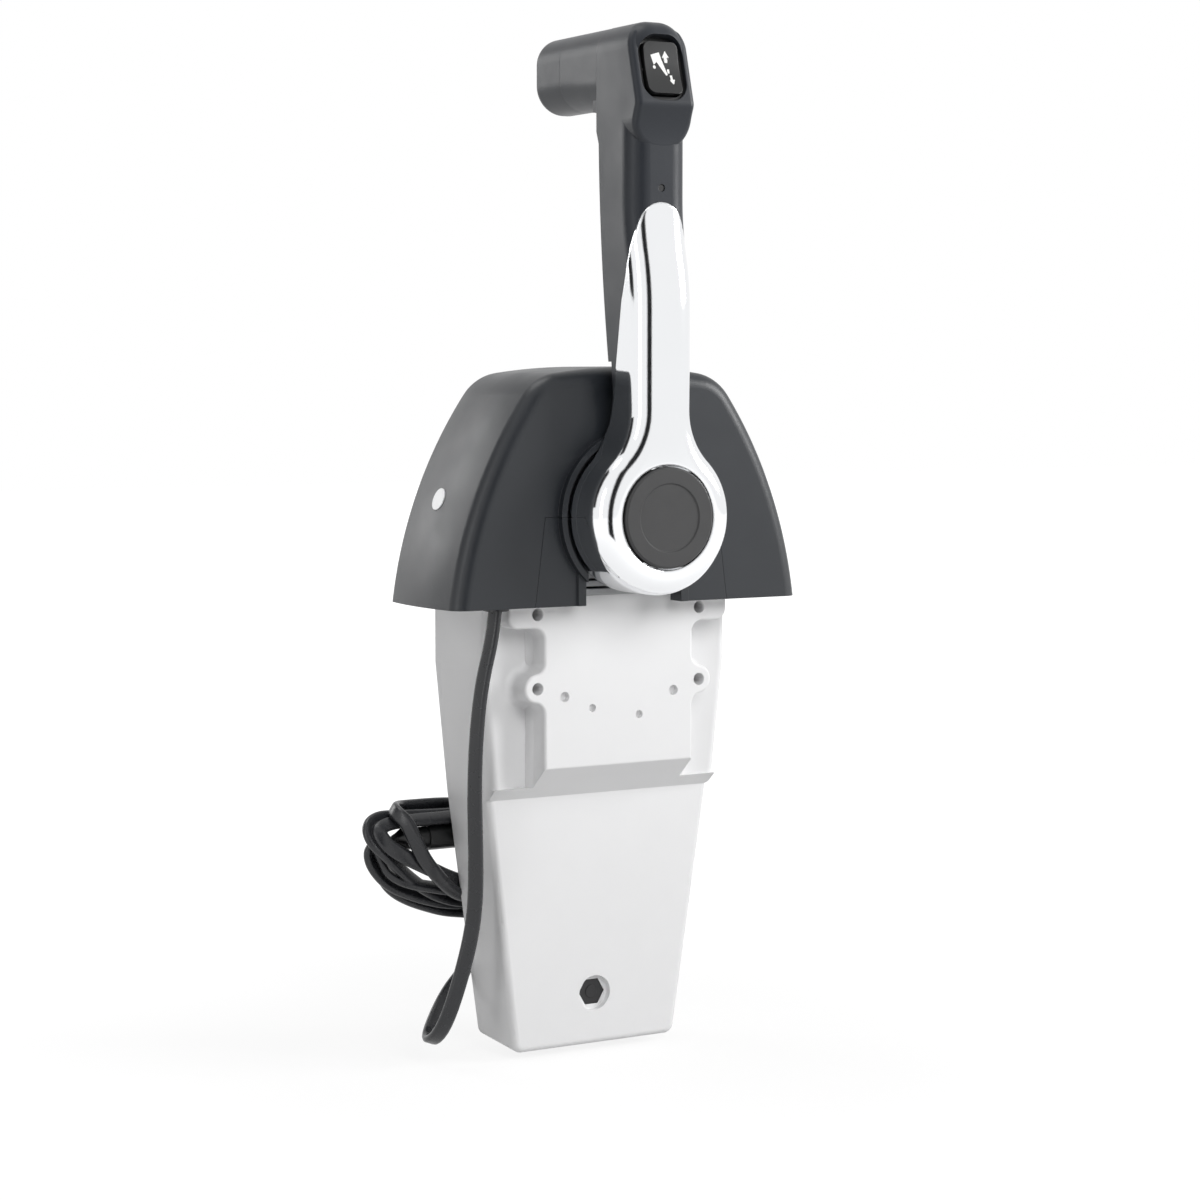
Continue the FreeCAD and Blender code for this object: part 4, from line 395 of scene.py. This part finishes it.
def seen_or_mirrored(tree):
    """A socket that is 1 for rays from the camera or a reflection, and 0 for the rest."""
    path = tree.nodes.new("ShaderNodeLightPath")
    either = tree.nodes.new("ShaderNodeMath")
    either.operation = "MAXIMUM"
    tree.links.new(path.outputs["Is Camera Ray"], either.inputs[0])
    tree.links.new(path.outputs["Is Glossy Ray"], either.inputs[1])
    return either.outputs[0]


floor_white = bpy.data.materials.new("floor_white")
floor_white.use_nodes = True
floor_tree = floor_white.node_tree
floor_shader = floor_tree.nodes["Principled BSDF"]
floor_shader.inputs["Base Color"].default_value = FLOOR_GREY
floor_shader.inputs["Roughness"].default_value = FLOOR_ROUGHNESS
floor_glow = floor_tree.nodes.new("ShaderNodeEmission")
floor_glow.inputs["Strength"].default_value = GLOW_STRENGTH
floor_place = floor_tree.nodes.new("ShaderNodeTexCoord")
floor_reach = floor_tree.nodes.new("ShaderNodeVectorMath")
floor_reach.operation = "LENGTH"
floor_tree.links.new(floor_place.outputs["Object"], floor_reach.inputs[0])
floor_share = floor_tree.nodes.new("ShaderNodeMapRange")
floor_share.inputs["From Min"].default_value = SHADE_INNER
floor_share.inputs["From Max"].default_value = SHADE_OUTER
floor_share.inputs["To Min"].default_value = GLOW_NEAR
floor_share.inputs["To Max"].default_value = 1.0
floor_tree.links.new(floor_reach.outputs["Value"], floor_share.inputs["Value"])
floor_amount = floor_tree.nodes.new("ShaderNodeMath")
floor_amount.operation = "MULTIPLY"
floor_tree.links.new(seen_or_mirrored(floor_tree), floor_amount.inputs[0])
floor_tree.links.new(floor_share.outputs["Result"], floor_amount.inputs[1])
floor_mix = floor_tree.nodes.new("ShaderNodeMixShader")
floor_tree.links.new(floor_amount.outputs[0], floor_mix.inputs["Fac"])
floor_tree.links.new(floor_shader.outputs[0], floor_mix.inputs[1])
floor_tree.links.new(floor_glow.outputs[0], floor_mix.inputs[2])
floor_tree.links.new(floor_mix.outputs[0], floor_tree.nodes["Material Output"].inputs["Surface"])
dress(studio_floor, floor_white)
print("full glow from %.2f m out" % SHADE_OUTER)

# %% [markdown]
# Two soft lamps light the near side: one almost square to it and one far round to the
# right, which leaves the recesses' left corners in half shade. One lamp hangs overhead,
# a narrow weak one fills the aft end, and one behind draws a sheen along the hood. Each
# is given by its place, its width and height in metres, and its power in watts.

# %% Lamps
def lamp(name, at, width, height, power, mirrored=True):
    """A soft lamp that shines at the middle of the object, and may be hidden from mirrors."""
    data = bpy.data.lights.new(name, "AREA")
    data.shape = "RECTANGLE"
    data.size = width
    data.size_y = height
    data.energy = power
    item = bpy.data.objects.new(name, data)
    item.location = at
    item.rotation_mode = "QUATERNION"
    item.rotation_quaternion = (-Vector(at)).to_track_quat("-Z", "Y")
    item.visible_glossy = mirrored
    bpy.context.collection.objects.link(item)


lamp("side_lamp", (1.4, -0.9, 0.65), 0.8, 0.8, 21.0)
lamp("front_lamp", (-0.15, -1.55, 0.85), 0.9, 0.9, 13.0, mirrored=False)
lamp("top_lamp", (-0.3, 0.2, 1.5), 0.8, 0.8, 5.0)
lamp("strip_lamp", (-1.25, -0.5, 0.2), 0.16, 1.2, 2.4)
lamp("sheen_lamp", (-0.9, 1.45, 0.62), 0.8, 0.8, 7.0)
print("lamps:", len(bpy.data.lights))

# %% [markdown]
# The sky does as the floor does: it lights the object weakly from all round, so that no
# shade goes black, but the camera and mirrors see it white.

# %% Sky
SKY_LIGHT = 0.10
SKY_SEEN = 1.0
WHITE = (1, 1, 1, 1)

world = bpy.data.worlds.new("white_studio")
bpy.context.scene.world = world
world.use_nodes = True
sky_tree = world.node_tree
sky_light = sky_tree.nodes["Background"]
sky_light.inputs["Color"].default_value = WHITE
sky_light.inputs["Strength"].default_value = SKY_LIGHT
sky_seen = sky_tree.nodes.new("ShaderNodeBackground")
sky_seen.inputs["Color"].default_value = WHITE
sky_seen.inputs["Strength"].default_value = SKY_SEEN
sky_mix = sky_tree.nodes.new("ShaderNodeMixShader")
sky_tree.links.new(seen_or_mirrored(sky_tree), sky_mix.inputs["Fac"])
sky_tree.links.new(sky_light.outputs[0], sky_mix.inputs[1])
sky_tree.links.new(sky_seen.outputs[0], sky_mix.inputs[2])
sky_tree.links.new(sky_mix.outputs[0], sky_tree.nodes["World Output"].inputs["Surface"])
print("sky: %.2f on the object, %.2f as seen" % (SKY_LIGHT, SKY_SEEN))

# %% [markdown]
# Polished metal is only as good as what it mirrors. Two upright dark cards, one in front
# and one off the aft end, give the plated arm the black lines along its round edges.
# Only reflections see them: the camera doesn't, and they cast no shadow. Each is given by
# its angle round the object, its distance, its width and height, and its middle's level.

# %% Dark cards
CARD_BLACK = (0.004, 0.004, 0.005)

card_black = finish("card_black", CARD_BLACK, 0.9, grain_depth=0.0)


def card(name, azimuth, distance, width, height, level):
    """An upright dark card that faces the object, at an angle from the near side towards aft."""
    mesh = bpy.data.meshes.new(name)
    half_w = width / 2
    half_h = height / 2
    corners = [(-half_w, -half_h, 0), (half_w, -half_h, 0), (half_w, half_h, 0), (-half_w, half_h, 0)]
    mesh.from_pydata(corners, [], [(0, 1, 2, 3)])
    item = bpy.data.objects.new(name, mesh)
    turn = math.radians(azimuth)
    item.location = (-distance * math.sin(turn), -distance * math.cos(turn), level)
    item.rotation_euler = (math.radians(90), 0, -turn)
    bpy.context.collection.objects.link(item)
    item.visible_camera = False
    item.visible_diffuse = False
    item.visible_shadow = False
    dress(item, card_black)
    print(name, "stands %.1f m away" % distance)


card("card_near", 17, 0.9, 0.38, 1.6, 0.1)
card("card_aft", 118, 0.9, 0.46, 1.0, 0.68)

# %% [markdown]
# Colours should render as they are written, so the view transform is the plain one.

# %% Finish
bpy.context.scene.view_settings.view_transform = "Standard"
